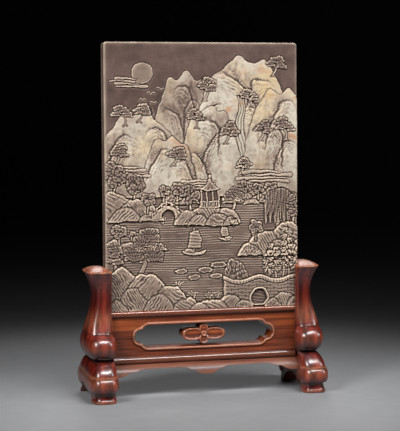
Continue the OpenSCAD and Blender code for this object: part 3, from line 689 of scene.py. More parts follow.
carve = 0.10 * rugged(picX, picH, 7, 3) + 0.05 * rugged(picX * 0.4, picH, 2, 4)
toneOf = dict(sky=0.03, water=0.12, rock=0.17, leaf=0.1, wood=0.16, built=0.2, mist=0.4)
tone = np.full(picX.shape, toneOf["sky"])
rubAndHighlight = np.ones(picX.shape)                                    # how far high places are lightened: rubbed, and a painted highlight


# the carver's hand: every line wanders a little from its drawn place
handX = picX + 2.6 * rugged(picX, picH, 10, 71) + 1.1 * rugged(picX, picH, 3.4, 72)
handH = picH + 2.6 * rugged(picX, picH, 10, 73) + 1.1 * rugged(picX, picH, 3.4, 74)


# the part of the grid inside a box, as slices, with its x and heights as the hand takes them
def part(x0, x1, h0, h1):
    ends = ((hLine, (h0 - 1, h1 + 1)), (xLine, (x0 - 1, x1 + 1)))
    rows, cols = (slice(*np.searchsorted(line, pair)) for line, pair in ends)
    return (rows, cols), handX[rows, cols], handH[rows, cols]


# cuts a shape in: inside it the picture takes the shape's height and paleness, and a dark chisel line
# that fades over about a millimetre is left round it; the groove is cut into the height, its darkness is
# painted shade
def lay(win, inside, height, pale, gougeAndShade=0.4, wide=0.8, rubbedAndLit=1.0):
    line = np.exp(-(np.minimum(inside, 0) / wide) ** 2)
    carve[win] = np.where(inside > 0, height, carve[win] - gougeAndShade * line)
    # painted shade: the paleness is darkened along the groove round the shape
    tone[win] = np.where(inside > 0, pale, tone[win] * (1 - min(gougeAndShade, 0.7) * line))
    rubAndHighlight[win] = np.where(inside > 0, mix(1, rubbedAndLit, smoothStep(0.2, 1.0, inside)), rubAndHighlight[win])


# ground under a tree, evened out so that lines cut before don't show through its crown
def evenGround(win):
    return mix(carve[win], carve[win].mean(), 0.85)


def least(shape, *others):                      # distance inside all of some shapes
    for other in others:
        shape = np.minimum(shape, other)
    return shape


def within(line, middle, half):                 # distance inside a band about a middle
    return half - np.abs(line - middle)


def roundUp(inside, radius):                    # 0 on a shape's edge, near 1 a few radii in
    return 1 - np.exp(-np.maximum(inside, 0) / radius)


# distance inside an oval, near enough: one minus its own radius, times its smaller half axis
def oval(x, h, midX, midH, a, b, turn=0.0):
    c, s = np.cos(turn), np.sin(turn)
    u, v = (x - midX) * c + (h - midH) * s, -(x - midX) * s + (h - midH) * c
    return (1 - np.hypot(u / a, v / b)) * min(a, b)


# distance inside a line of a given half width, which changes evenly along its corners
def stroke(x, h, path, startHalf, endHalf):
    best = np.full(x.shape, -99.0)
    count = len(path) - 1
    for k in range(count):
        (px, ph), (qx, qh) = path[k], path[k + 1]
        dx, dh = qx - px, qh - ph
        t = np.clip(((x - px) * dx + (h - ph) * dh) / (dx * dx + dh * dh), 0, 1)
        half = mix(startHalf, endHalf, (k + t) / count)
        best = np.maximum(best, half - np.hypot(x - px - t * dx, h - ph - t * dh))
    return best


# distance inside a shape with straight sides, by the nearest side and the count of sides crossed
def cornered(x, h, corners):
    away = np.full(x.shape, 99.0)
    crossed = np.zeros(x.shape, bool)
    for (px, ph), (qx, qh) in zip(corners, corners[1:] + corners[:1]):
        dx, dh = qx - px, qh - ph
        t = np.clip(((x - px) * dx + (h - ph) * dh) / (dx * dx + dh * dh), 0, 1)
        away = np.minimum(away, np.hypot(x - px - t * dx, h - ph - t * dh))
        if dh:
            crossed ^= ((ph > h) != (qh > h)) & (x < dx * (h - ph) / dh + px)
    return np.where(crossed, away, -away)


# distance under a skyline, from its height at each x and its slope there
def under(line, h):
    slope = np.gradient(line, pitch, axis=1)
    return (line - h) / np.sqrt(1 + slope ** 2)


# a mountain: a dome with broken shoulders, and folds, each the round top of a boulder that is cut
# sharp on one flank, melts away on the other and fades into the slope below
def layPeak(mid, half, foot, top, share, seed, folds, pale=1.0):
    x0, x1 = slabW * (mid - half), slabW * (mid + half)
    win, x, h = part(x0, x1, slabH * foot, slabH * top + 4)
    u = np.clip((x / slabW - mid) / half, -1, 1)
    dome = (1 - np.abs(u) ** 3) ** 0.8 * (1 - 0.03 * (1 - np.cos(np.pi * (4 * u + 2 * mid))))
    line = slabH * mix(foot, top, dome) + 8 * rugged(x, 0 * h, 13, seed) * (1 - u ** 6)
    inside = under(line, h)
    bentX, bentH = x + 16 * rugged(x, h, 26, seed + 50), h + 16 * rugged(x, h, 26, seed + 60)
    streak = rugged(bentX * 1.3, bentH * 0.4, 4.5, seed + 70)
    pits = rugged(x, h, 3.2, seed + 90)
    body = share * reliefDeep * mix(0.55, 1, roundUp(inside, 4)) + 0.7 * rugged(x, h, 20, seed + 20)
    body += 0.3 * streak + 0.3 * pits
    shade = pale * (0.8 + 0.8 * rugged(x, h, 24, seed + 30) + 0.4 * streak + 0.4 * pits)
    shade *= mix(0.45, 1, smoothStep(foot * slabH, foot * slabH + 30, h))
    for k, (foldX, foldFoot, foldHalf, foldTop) in enumerate(folds):
        fu = np.clip((bentX - foldX) / foldHalf, -1, 1)
        depth = under(mix(foldFoot, foldTop, (1 - np.abs(fu) ** 2.2) ** 0.75), bentH)
        flank = smoothStep(-0.8, 0.7, fu * (-1) ** (k + seed))
        flank = flank * smoothStep(foldFoot, mix(foldFoot, foldTop, 0.5), h)
        body += 0.85 * roundUp(depth, 2.4) * np.exp(-np.maximum(depth, 0) / 13) * flank
        body -= 0.75 * hump(depth, -0.7, 1.1) * flank
        # painted shade: darker paleness in the crease just outside each fold's cut, and in the soft arcs
        # below it
        shade -= (0.7 * hump(depth, -0.7, 0.9) + 0.3 * hump(depth, -3, 3) * (depth < 0)) * flank
        for far, strong in ((4.0, 1.0), (8.0, 0.9), (12.5, 0.8), (17.5, 0.6)):     # soft arcs below the cut
            roll = strong * hump(depth, far + 6 * streak, 1.2) * flank
            body -= 0.42 * roll
            shade -= 0.2 * roll
    lay(win, inside, body, np.clip(shade, 0.12, 1), 0.45, 0.8)


# a pine: a bent trunk with two roots, limbs, and flat fans of needles, each the upper part of an oval
# with rays cut in
def layPine(footX, footH, tall, lean, fan, seed, trunk=0.9):
    rng = np.random.default_rng(seed)
    t = np.linspace(0, 1, 7)
    bend = np.sin(t * np.pi * 1.6) * tall * 0.1
    path = list(zip(footX + lean * t + bend, footH + tall * t))
    reach = fan * 3.6 + abs(lean)
    win, x, h = part(footX - reach, footX + reach, footH - 4, footH + tall + 2 * fan)
    base = evenGround(win)
    wood = stroke(x, h, path, trunk, trunk * 0.5)
    for side in (-1, 1):
        root = (footX + side * 2.6 * trunk, footH - 1.8 * trunk)
        wood = np.maximum(wood, stroke(x, h, [path[0], root], trunk, 0.3))
    count = 6 + int(tall / 5)
    fans = []
    for k in range(count):
        share = mix(0.45, 1.02, k / (count - 1))
        side = (-1) ** k * (1 - 0.8 * share ** 3) * fan * rng.uniform(0.7, 1.9)
        size = fan * rng.uniform(0.6, 0.9) * mix(1.1, 0.8, share)
        fanH = footH + tall * share + rng.uniform(-0.15, 0.15) * fan
        fans.append((footX + lean * share + side, fanH, size))
        start = (footX + lean * share * 0.9, footH + tall * share * 0.9)
        wood = np.maximum(wood, stroke(x, h, [start, fans[-1][:2]], trunk * 0.5, 0.4))
    lay(win, wood, base + 0.6 * roundUp(wood, 0.6), toneOf["wood"], 0.5)
    for fanX, fanH, size in fans:
        inside = least(oval(x, h, fanX, fanH, size * 1.5, size * 0.8), h - fanH + 0.32 * size)
        inside += 0.25 * np.cos(5 * (x - fanX) / size + seed)
        rays = np.cos(np.arctan2(h - fanH + 0.9 * size, x - fanX) * (8 + 1.6 * size))
        lay(win, inside, base + 0.6 + 0.4 * roundUp(inside, 0.7) + 0.3 * rays * smoothStep(0.0, 0.8, inside),
            0.5 * toneOf["leaf"] + 0.08 * rays, 0.5, 0.7, rubbedAndLit=0.3)


# leaves: cells with their middles put at random, 1 in the middle of a leaf and -1 between leaves;
# round leaves are as long as wide, slim ones hang and flat ones lie
leafForms = dict(round=(1.0, 1.0), slim=(0.8, 1.7), flat=(1.6, 0.75))


def leafing(x, h, form, size, seed):
    side = 128
    spots = np.random.default_rng(seed).random((2, side, side))
    wide, tall = leafForms[form]
    gx, gh = x / (size * wide) + 60 + 0.25 * h / size * (form == "slim"), h / (size * tall) + 5
    ix, ih = np.floor(gx).astype(int), np.floor(gh).astype(int)
    near = np.full(x.shape, 9.0)
    for dx in (-1, 0, 1):
        for dh in (-1, 0, 1):
            jx, jh = (spots[k, (ih + dh) % side, (ix + dx) % side] for k in (0, 1))
            near = np.minimum(near, np.hypot(gx - ix - dx - jx, gh - ih - dh - jh))
    return 1 - 2 * smoothStep(0.12, 0.75, near)


# a leafy tree: a forked trunk under a crown of overlapping ovals with one leaf texture
def layTree(footX, footH, tall, wide, form, size, seed):
    rng = np.random.default_rng(seed)
    win, x, h = part(footX - wide * 1.2, footX + wide * 1.2, footH - 2, footH + tall * 1.15)
    base = evenGround(win)
    for forkX in (-0.28, 0.05, 0.33):
        path = [(footX, footH), (footX + 0.1 * forkX * wide, footH + 0.3 * tall),
                (footX + forkX * wide, footH + 0.62 * tall)]
        wood = stroke(x, h, path, 0.06 * wide + 0.5, 0.45)
        lay(win, wood, base + 0.6 * roundUp(wood, 0.5), toneOf["wood"], 0.5)
    leaves = leafing(x, h, form, size, seed)
    for k in range(9):
        turn = k * 2.4
        far = 0.62 * np.sqrt((k + 0.5) / 9)
        tuftX, tuftH = footX + wide * far * np.cos(turn), footH + tall * (0.7 - 0.42 * far * np.sin(turn))
        inside = oval(x, h, tuftX, tuftH, wide * rng.uniform(0.34, 0.46), tall * rng.uniform(0.15, 0.2))
        inside += 0.4 * np.cos(5 * np.arctan2(h - footH - 0.7 * tall, x - footX) + 2 * k + 0.9 * x)
        lay(win, inside, base + 0.3 + 0.12 * (k % 3) + 0.45 * roundUp(inside, 0.9) + 0.4 * leaves,
            toneOf["leaf"] + 0.09 * leaves, 0.7, rubbedAndLit=0.4)


# mist: long flat bands with round ends, one over another, each thin towards one end
def layMist(midX, midH, half, thick, seed, pale):
    rng = np.random.default_rng(seed)
    win, x, h = part(midX - half * 1.5, midX + half * 1.5, midH - 4 * thick, midH + 6 * thick)
    base = evenGround(win)
    for k in range(4):
        shift, reach = half * rng.uniform(-0.35, 0.35), half * rng.uniform(0.55, 1.0)
        level = midH + thick * (1.7 * k - 1.5)
        path = [(midX + shift - reach, level), (midX + shift, level + 0.5 * thick),
                (midX + shift + reach, level)]
        inside = stroke(x, h, path if k % 2 else path[::-1], thick, 0.3 * thick)
        lay(win, inside, base + 0.3 + 0.4 * roundUp(inside, 0.8), pale + 0.06 * (k % 2), 0.4)


# boulders: domes with a light upper rim, partly wear and partly a painted highlight, broken by crags and by
# chisel strokes that come and go
def layRocks(rocks, high, seed):
    for k, (midX, foot, half, top) in enumerate(rocks):
        win, x, h = part(midX - half, midX + half, foot - 1, top + 4)
        if not x.size:
            continue
        u = np.clip((x - midX) / half, -1, 1)
        sharp = (1.7, 2.6, 2.1)[k % 3]
        line = mix(foot, top, (1 - np.abs(u) ** sharp) ** 0.8)
        line = line + 6 * rugged(x, 0 * h, 9, seed + k) * (1 - u ** 4)
        inside = least(under(line, h), h - foot - 2 * rugged(x, 0 * h, 8, seed + k + 60))
        lean = (0.9, -0.7, 0.35)[(k + seed) % 3]
        crag = 1 - 5 * np.abs(rugged(x + lean * h, h - lean * x, 12, seed + k + 9))
        broken = smoothStep(-0.2, 0.02, rugged(x, h, 7, seed + k + 70))
        cut = broken * np.sin(2 * np.pi * (x * lean + 0.6 * h + 5 * rugged(x, h, 10, seed + k)) / 2.7)
        deep = smoothStep(0.8, 3, inside)
        moss = smoothStep(0.1, 0.8, np.cos(2 * np.pi * x / 2.9 + k) + 0.8 * rugged(x, h, 8, seed + k + 80))
        moss *= hump(inside, 2.0, 0.8)
        body = high + 0.7 * roundUp(inside, 1.6) + (0.34 * crag + 0.3 * cut - 0.2) * deep + 0.35 * moss
        # the rim is lighter: wear, and a painted highlight
        pale = toneOf["rock"] + 0.22 * (1 - roundUp(inside, 1.2)) + (0.12 * crag + 0.07 * cut) * deep
        lay(win, inside, body, np.clip(pale, 0.03, 1), 0.9, 1.0)


# still water: long ripples, bent a little and broken into dashes
def layWater(low, high):
    win, x, h = part(-99, 99.1, low, high)
    bent = mix(picH[win], h, 0.35) + 0.5 * np.sin(x * 0.07 + h * 0.05) + 1.2 * rugged(x, h, 40, 61)
    dash = smoothStep(-0.2, 0.06, rugged(x * 0.16, h, 3.1, 62))
    wave = np.sin(2 * np.pi * bent / 2.35)
    lay(win, np.full(x.shape, 1.0), 0.12 + 0.2 * wave * dash + 0.1 * rugged(x, h, 9, 63),
        toneOf["water"] + 0.06 * wave * dash + 0.15 * rugged(x, h, 30, 64), 0)


# moss: dark dots strung along the sharp flanks of a mountain's folds
def layMoss(folds, seed):
    rng = np.random.default_rng(seed)
    for k, (foldX, foldFoot, foldHalf, foldTop) in enumerate(folds):
        for t in np.linspace(0.1, 0.9, 11) + rng.uniform(-0.04, 0.04, 11):
            dotX = foldX + foldHalf * t * (-1) ** (k + seed)
            dotH = mix(foldFoot, foldTop, (1 - t ** 2.2) ** 0.75) + rng.uniform(-1.5, 1.5)
            size = rng.uniform(0.7, 1.25)
            win, x, h = part(dotX - 3, dotX + 3, dotH - 3, dotH + 3)
            inside = oval(x, h, dotX, dotH, 1.25 * size, 0.8 * size)
            lay(win, inside, carve[win] + 0.4 * roundUp(inside, 0.4), toneOf["leaf"], 0.2, 0.6, rubbedAndLit=0.3)


# reeds: blades that fan out from one foot and bow over, each a stroke through three points
def layReeds(clumps, seed):
    rng = np.random.default_rng(seed)
    for footX, footH, tall in clumps:
        win, x, h = part(footX - tall, footX + tall, footH - 1, footH + 1.3 * tall)
        base = carve[win].copy()
        for lean in np.linspace(-0.75, 0.75, 8) + rng.uniform(-0.1, 0.1, 8):
            reach = tall * rng.uniform(0.75, 1.1)
            path = [(footX + 1.5 * lean, footH), (footX + 0.45 * lean * reach, footH + 0.6 * reach),
                    (footX + lean * reach, footH + reach * (1 - 0.3 * abs(lean)))]
            blade = stroke(x, h, path, 0.55, 0.3)
            lay(win, blade, base + 0.45 + 0.3 * roundUp(blade, 0.3), toneOf["leaf"] + 0.12, 0.45, 0.6)


# geese far off: two bowed wings each
def layGeese(places):
    for midX, midH, span in places:
        win, x, h = part(midX - span - 1, midX + span + 1, midH - 3, midH + 4)
        path = [(midX - span, midH + 0.45 * span), (midX - 0.45 * span, midH + 0.62 * span), (midX, midH),
                (midX + 0.5 * span, midH + 0.55 * span), (midX + span, midH + 0.3 * span)]
        wings = stroke(x, h, path, 0.5, 0.4)
        lay(win, wings, carve[win] + 0.45 * roundUp(wings, 0.3), 0.25, 0.4, 0.6)


# a waterfall: threads that waver as they fall, spreading towards the pool
def layFall(topX, topH, footX, footH, topHalf, footHalf):
    win, x, h = part(min(topX, footX) - 12, max(topX, footX) + 12, footH, topH)
    s = (topH - h) / (topH - footH)
    middle = mix(topX, footX, s) + 1.6 * np.sin(h * 0.13)
    half = mix(topHalf, footHalf, s)
    inside = half - np.abs(x - middle)
    threads = np.cos((x - middle) / half * 9 + 0.7 * np.sin(h * 0.4))
    lay(win, inside, 0.6 + 0.25 * threads, 0.9 + 0.2 * threads, 0.7, rubbedAndLit=1.6)


# a stone bridge: a bowed deck over a round arch, with wedge joints round the arch and rail posts
def layBridge(midX, midH, half, rise):
    win, x, h = part(midX - half - 2, midX + half + 2, midH - 3, midH + rise + 9)
    u = np.clip((x - midX) / half, -1, 1)
    deck = midH + rise * np.maximum(np.cos(u * np.pi / 2), 0) ** 1.15
    away = -oval(x, h, midX, midH - 1.5, half * 0.42, rise * 0.78)
    mass = least(deck - h, within(x, midX, half), h - midH + 2, away)
    wedges = hump(np.sin(np.arctan2(h - midH + 1.5, x - midX) * 9), 0, 0.25) * (away < 2.6)
    courses = hump(np.sin(np.pi * (deck - h) / 2.6), 0, 0.22) * (away > 2.9)
    joints = np.maximum.reduce([wedges, hump(away, 2.6, 0.35), courses])
    lay(win, mass, 1.75 + 0.4 * roundUp(mass, 0.5) - 0.28 * joints, toneOf["built"] + 0.1, 0.7)
    rail = least(h - deck - 2.4, deck + 3.5 - h)
    posts = least(h - deck, deck + 4.6 - h, within((x - midX + 40) % 5.2, 2.6, 0.75))
    for shape in (rail, posts):
        shape = least(shape, within(x, midX, half))
        lay(win, shape, 2.1 + 0.35 * roundUp(shape, 0.3), 0.4, 0.5)


# an open pavilion: a roof with upturned eaves and tile ribs, a ball on top, posts and a railing
def layPavilion(midX, midH, half, tall):
    win, x, h = part(midX - half * 1.5, midX + half * 1.5, midH - 2, midH + tall * 1.25)
    base = 1.9
    floorLine = least(within(h, midH, 1.2), within(x, midX, half))
    lay(win, floorLine, base + 0.5 * roundUp(floorLine, 0.4), 0.35, 0.6)
    room = least(h - midH, midH + tall * 0.6 - h, within(x, midX, half * 0.85))
    lay(win, room, base - 0.75, 0.06, 0)
    for place in (-0.85, -0.32, 0.32, 0.85):
        post = least(within(x, midX + place * half, 0.62), h - midH, midH + 0.62 * tall - h)
        lay(win, post, base + 0.45 * roundUp(post, 0.3), 0.34, 0.3)
    handrail = midH + 0.19 * tall
    bars = least(within((x + 40) % 1.9, 0.95, 0.35), h - midH, handrail - h)
    bars = least(np.maximum(bars, within(h, handrail, 0.4)), within(x, midX, half * 0.95))
    lay(win, bars, base + 0.35 * roundUp(bars, 0.3), 0.3, 0.2)
    s = np.clip((h - midH - 0.55 * tall) / (0.5 * tall), 0, 1)
    curve = half * (1.42 * (1 - s) ** 2.1 + 0.1)
    eave = midH + 0.55 * tall + 0.1 * tall * np.abs((x - midX) / half) ** 2.5
    roof = least(within(x, midX, curve), h - eave, midH + 1.05 * tall - h)
    ribs = np.cos((x - midX) / np.maximum(curve, 0.3) * 16)
    lip = hump(h, eave + 0.7, 0.45)
    lay(win, roof, base + 0.55 + 0.45 * roundUp(roof, 0.5) + 0.2 * ribs + 0.2 * lip,
        toneOf["built"] - 0.06 + 0.1 * ribs + 0.3 * lip, 0.8)
    ball = oval(x, h, midX, midH + 1.12 * tall, 1.5, 1.7)
    lay(win, ball, base + 0.9 * roundUp(ball, 0.6), 0.3, 0.5)


# a junk: a crescent hull with planks, a mast and a battened sail that leans with the wind
def layJunk(midX, midH, size, way):
    win, x, h = part(midX - 1.6 * size, midX + 1.6 * size, midH - 0.5 * size, midH + 2.4 * size)
    u = (x - midX) / size * way
    sheer = midH + size * (0.16 * u * u + 0.08 * np.maximum(u, 0) ** 3)
    keel = midH - size * 0.34 * (1 - np.minimum(np.abs(u), 1) ** 2.4) + 0.06 * size
    hull = least(sheer - h, h - keel, (1.02 - np.abs(u)) * size)
    plank = np.sin(2 * np.pi * (sheer - h) / (0.13 * size))
    lay(win, hull, 0.95 + 0.5 * roundUp(hull, 0.6) + 0.15 * plank, toneOf["built"] + 0.1 * plank, 0.8)
    step, peak = (midX - 0.05 * size * way, midH), (midX + 0.02 * size * way, midH + 2.1 * size)
    mast = stroke(x, h, [step, peak], 0.5, 0.32)
    lay(win, mast, 1.0 + 0.4 * roundUp(mast, 0.3), 0.3, 0.5)
    sail = cornered(x, h, [(midX + way * a * size, midH + b * size) for a, b in
                           ((-0.55, 0.42), (0.5, 0.34), (0.68, 1.2), (0.36, 1.95), (-0.42, 1.7))])
    batten = np.cos(2 * np.pi * (h - midH + 0.1 * way * (x - midX)) / (0.27 * size))
    lay(win, sail, 1.0 + 0.5 * roundUp(sail, 1.6) + 0.2 * batten, 0.28 + 0.12 * batten, 0.8)
    cabin = least(oval(x, h, midX - 0.45 * size * way, midH, 0.36 * size, 0.36 * size), h - sheer)
    lay(win, cabin, 1.15 + 0.35 * roundUp(cabin, 0.5) + 0.14 * np.cos(x * 4), toneOf["built"], 0.5)


# bamboo: straight canes with rings, and slim leaves that hang in threes
def layBamboo(canes, seed):
    rng = np.random.default_rng(seed)
    for footX, footH, tall, lean in canes:
        win, x, h = part(footX - 11, footX + 11, footH, footH + tall + 5)
        base = carve[win].copy()
        cane = stroke(x, h, [(footX, footH), (footX + lean, footH + tall)], 0.85, 0.5)
        rings = hump(np.sin(np.pi * (h - footH) / 6.5), 0, 0.14)
        lay(win, cane, base + 0.75 * roundUp(cane, 0.35) - 0.3 * rings, 0.28, 0.5)
        count = int(tall / 4.2)
        for k in range(count):
            s = mix(0.35, 1.0, k / max(1, count - 1))
            rootX, rootH = footX + lean * s, footH + tall * s
            side = (-1) ** k
            for spread in (0.15, 0.6, 1.1):
                turn = -side * spread * rng.uniform(0.7, 1.2) + (np.pi if side < 0 else 0)
                longest = rng.uniform(5.0, 7.0)
                leafX, leafH = rootX + 0.5 * longest * np.cos(turn), rootH + 0.5 * longest * np.sin(turn)
                leaf = oval(x, h, leafX, leafH, longest * 0.52, 0.95, turn)
                lay(win, leaf, base + 0.55 + 0.5 * roundUp(leaf, 0.4),
                    toneOf["leaf"] + 0.08 * (spread > 0.5), 0.5)


# a garden wall whose top rises and falls in waves, with a tiled cap, brick joints and a round gate
def layWall(x0, x1, footH, topH, gateX, gateR):
    win, x, h = part(x0, x1, footH, topH + 9)
    top = topH + 2.6 * np.cos((x - gateX) * 0.155)
    gateH = footH + gateR * 0.8
    wall = least(top - h, x - x0)
    row = (h - footH) / 3.4
    joints = np.maximum(hump(row % 1, 0.5, 0.1),
                        hump(((x + 50) / 7.5 + 0.5 * (np.floor(row) % 2)) % 1, 0.5, 0.05))
    lay(win, wall, 2.0 + 0.25 * roundUp(wall, 0.6) - 0.45 * joints, toneOf["built"] - 0.14 * joints, 0.8)
    cap = least(h - top + 0.6, top + 3.4 - h, x - x0 + 1)
    tiles = np.cos(2 * np.pi * x / 3.0)
    lay(win, cap, 2.35 + 0.4 * roundUp(cap, 0.5) + 0.2 * tiles, toneOf["built"] + 0.12 * tiles, 0.8)
    rim = oval(x, h, gateX, gateH, gateR + 1.7, gateR + 1.7)
    lay(win, least(rim, h - footH), 2.55 + 0.3 * roundUp(rim, 0.4), 0.4, 0.5)
    gate = oval(x, h, gateX, gateH, gateR, gateR)
    lay(win, least(gate, h - footH), 0.35 + 0.15 * np.sin(h * 2.2 + x * 0.5), 0.05, 0)


# a willow: a stout trunk and long hanging withes, as lines that lean with the wind
def layWillow(footX, footH, tall, wide, seed):
    win, x, h = part(footX - wide * 1.3, footX + wide * 1.3, footH - 2, footH + tall * 1.1)
    base = evenGround(win)
    path = [(footX + aside, footH + share * tall) for aside, share in
            ((0, 0), (-1.5, 0.3), (1.0, 0.55), (-2.0, 0.85))]
    wood = stroke(x, h, path, 2.2, 0.9)
    bark = 0.14 * np.sin(h * 2.4 + np.sin(x * 2))
    lay(win, wood, base + 0.8 * roundUp(wood, 0.8) + bark, toneOf["wood"], 0.5)
    fullest = footH + 0.72 * tall
    tips = footH + tall * (0.28 + 0.16 * np.sin(x * 1.3 + seed))
    hanging = least(within(x, footX, wide * 0.93), fullest - h, h - tips)
    crown = np.maximum(oval(x, h, footX, fullest, wide, 0.3 * tall), hanging)
    parted = np.abs(x - footX) < 2.4 - 0.06 * (h - footH)               # the trunk shows between the withes
    crown = np.where(parted, least(crown, h - footH - 0.55 * tall), crown)
    blown = 0.0024 * (h - footH) ** 1.5 * np.sign(x - footX) + 0.5 * np.sin(h * 0.3 + x)
    fall = np.cos(2 * np.pi * (x + blown) / 2.6)
    nicks = np.sin(h * 2.6 + 3 * np.floor(x / 2.6))
    lay(win, crown, base + 0.5 + 0.4 * roundUp(crown, 1.0) + 0.3 * fall + 0.1 * nicks,
        toneOf["leaf"] + 0.1 * fall, 0.6, rubbedAndLit=0.4)


# lotus leaves: flat ovals with rays and a wavy rim
def layLotus(leaves):
    for k, (midX, midH, a, b) in enumerate(leaves):
        win, x, h = part(midX - a - 1, midX + a + 1, midH - b - 1, midH + b + 1)
        turn = np.arctan2((h - midH) / b, (x - midX) / a)
        inside = oval(x, h, midX, midH, a, b) + 0.2 * np.cos(turn * 7 + k)
        rays = np.cos(turn * 11 + k)
        rim = hump(inside, 0.35, 0.3)
        lay(win, inside, 0.75 + 0.15 * rays * smoothStep(0.2, 1, inside) + 0.3 * rim,
            toneOf["leaf"] + 0.08 * rays + 0.2 * rim, 0.6, rubbedAndLit=0.5)


# sky: a moon, a band of mist and geese
moonWin, moonX, moonH = part(-80, -40, 215, 258)
moon = oval(moonX, moonH, -61, 237, 10.5, 10.5)
lay(moonWin, moon, 0.55 + 0.4 * roundUp(moon, 2.0) - 0.2 * hump(moon, 1.5, 0.4), 0.22, 0.5)
layMist(-76, 226, 17, 1.5, 5, 0.1)
layGeese(((-52, 216, 4.2), (-43, 221, 3.6), (-60, 210, 3.4), (-49, 208, 3.0)))

# mountains, back to front: middle, half width, foot, top and relief as shares of the slab, a seed, folds
# as middle, foot, half width and top, and paleness
peaks = [
    (-0.09, 0.19, 0.5, 0.895, 0.22, 82, [(-22, 180, 18, 226), (-6, 170, 17, 212), (-36, 165, 15, 200)], 0.62),
    (-0.33, 0.25, 0.43, 0.74, 0.35, 101,
     [(-78, 130, 22, 176), (-52, 124, 24, 184), (-88, 112, 17, 146)], 0.9),
    (0.22, 0.31, 0.44, 0.95, 0.45, 132,
     [(26, 168, 30, 240), (62, 165, 27, 231), (46, 150, 22, 208), (14, 150, 18, 206)], 1.0),
    (0.40, 0.21, 0.42, 0.83, 0.55, 161, [(86, 150, 24, 207), (66, 132, 20, 184), (92, 118, 18, 168)], 1.0),
    (0.04, 0.18, 0.41, 0.77, 0.65, 192, [(-1, 145, 21, 193), (19, 132, 20, 176), (-8, 116, 18, 158)], 1.0),
    (-0.17, 0.16, 0.40, 0.65, 0.60, 221, [(-41, 124, 19, 162), (-22, 114, 18, 149)], 0.92)]
for k, peak in enumerate(peaks):
    layPeak(*peak)
    if k > 0:                                   # no moss on the farthest
        layMoss(peak[6], peak[5])
    if k == 2:                                  # the waterfall comes down the high one, behind the rest
        layFall(39, 214, 42, 118, 3.4, 6.5)
for pine in ((2, 211, 20, 5, 4.6, 11), (73, 235, 17, 6, 4.4, 13), (-79, 186, 18, -5, 4.3, 14),
             (-64, 190, 15, 4, 3.9, 15), (24, 168, 18, 5, 4.4, 16), (-6, 184, 15, -4, 4.0, 21),
             (87, 171, 19, -5, 4.6, 17), (-30, 146, 16, 5, 4.1, 19), (60, 170, 17, 4, 4.2, 22),
             (-88, 148, 17, 4, 4.2, 23), (51, 205, 14, -4, 3.8, 24), (40, 137, 13, 3, 3.6, 25)):
    layPine(*pine)
layMist(-76, 138, 20, 1.6, 7, toneOf["mist"])
layMist(64, 131, 28, 1.8, 8, toneOf["mist"])
layMist(-8, 124, 17, 1.5, 9, toneOf["mist"])

# the lake and its far shore
layWater(2, 113)
layRocks([(-30, 107, 12, 117), (-14, 107, 10, 115), (40, 107, 15, 119), (60, 107, 13, 116),
          (80, 107, 14, 120), (95, 106, 10, 116), (28, 107, 8, 114), (50, 106, 8, 112),
          (70, 106, 7, 111)], 0.9, 301)
for tree in ((-26, 111, 17, 8, "round", 1.9, 61), (44, 112, 17, 8, "slim", 2.0, 62),
             (57, 111, 15, 7, "round", 1.9, 63), (70, 111, 16, 8, "flat", 1.9, 64),
             (-40, 110, 15, 7, "slim", 1.9, 65)):
    layTree(*tree)
layRocks([(-78, 60, 17, 70), (-58, 60, 12, 67), (-92, 60, 11, 72), (-44, 60, 8, 64)], 0.9, 391)
layTree(-86, 68, 18, 9, "round", 2.0, 66)
layTree(-70, 66, 14, 7, "slim", 1.9, 67)

# left bank, bridge and islet
layTree(-90, 114, 33, 13, "round", 2.5, 41)
layTree(-70, 108, 29, 11, "slim", 2.3, 42)
layRocks([(-92, 91, 26, 122), (-67, 91, 23, 112), (-80, 90, 17, 104), (-53, 91, 13, 102)], 1.5, 311)
layTree(-57, 99, 19, 8, "flat", 2.0, 43)
layBridge(-36, 94, 17, 12)
layTree(-13, 98, 27, 9, "round", 2.2, 44)
layPine(29, 98, 25, 6, 4.6, 45, 1.2)
layRocks([(6, 87, 25, 106), (-15, 86, 15, 100), (25, 86, 14, 101)], 1.5, 321)
layPavilion(7, 104, 11, 27)
layRocks([(-4, 85, 12, 96), (15, 85, 13, 98), (29, 85, 8, 93)], 1.75, 331)

# right bank and boats
layWillow(79, 80, 40, 16, 1.0)
layTree(95, 82, 30, 10, "flat", 2.3, 46)
layRocks([(90, 54, 26, 87), (64, 54, 21, 77), (48, 54, 13, 66), (79, 53, 15, 70), (93, 53, 12, 66)], 1.7, 341)
layTree(55, 69, 19, 8, "round", 2.0, 47)
layJunk(-9, 58, 11.5, 1)
layJunk(23, 71, 6.5, -1)

# foreground: rocks with an old pine, and a garden behind a wall
layLotus([(2, 40, 7, 2.8), (16, 45, 8, 3.0), (-9, 33, 6.5, 2.5), (13, 34, 6, 2.4), (-23, 40, 6, 2.4),
          (28, 40, 5, 2.0)])
layPine(-70, 30, 50, 15, 8.2, 51, 2.7)
layPine(-92, 36, 30, -3, 5.4, 52, 1.7)
layRocks([(-84, 1, 31, 45), (-58, 1, 27, 37), (-34, 1, 21, 26), (-72, 0, 19, 24), (-46, 0, 16, 17),
          (-19, 0, 14, 14), (-90, 0, 13, 14)], 2.0, 351)
layBamboo([(84, 29, 45, 4), (91, 28, 52, -3), (77, 28, 37, -4), (96, 26, 41, 1), (70, 28, 30, -3)], 71)
layTree(33, 11, 37, 13, "slim", 2.4, 48)
layWall(21, 99.1, 4, 28, 58, 8.5)
layRocks([(27, 0, 15, 16), (42, 0, 10, 9), (86, 0, 17, 15), (73, 0, 9, 8), (9, 0, 17, 11), (-4, 0, 11, 7),
          (96, 0, 9, 10)], 2.1, 361)
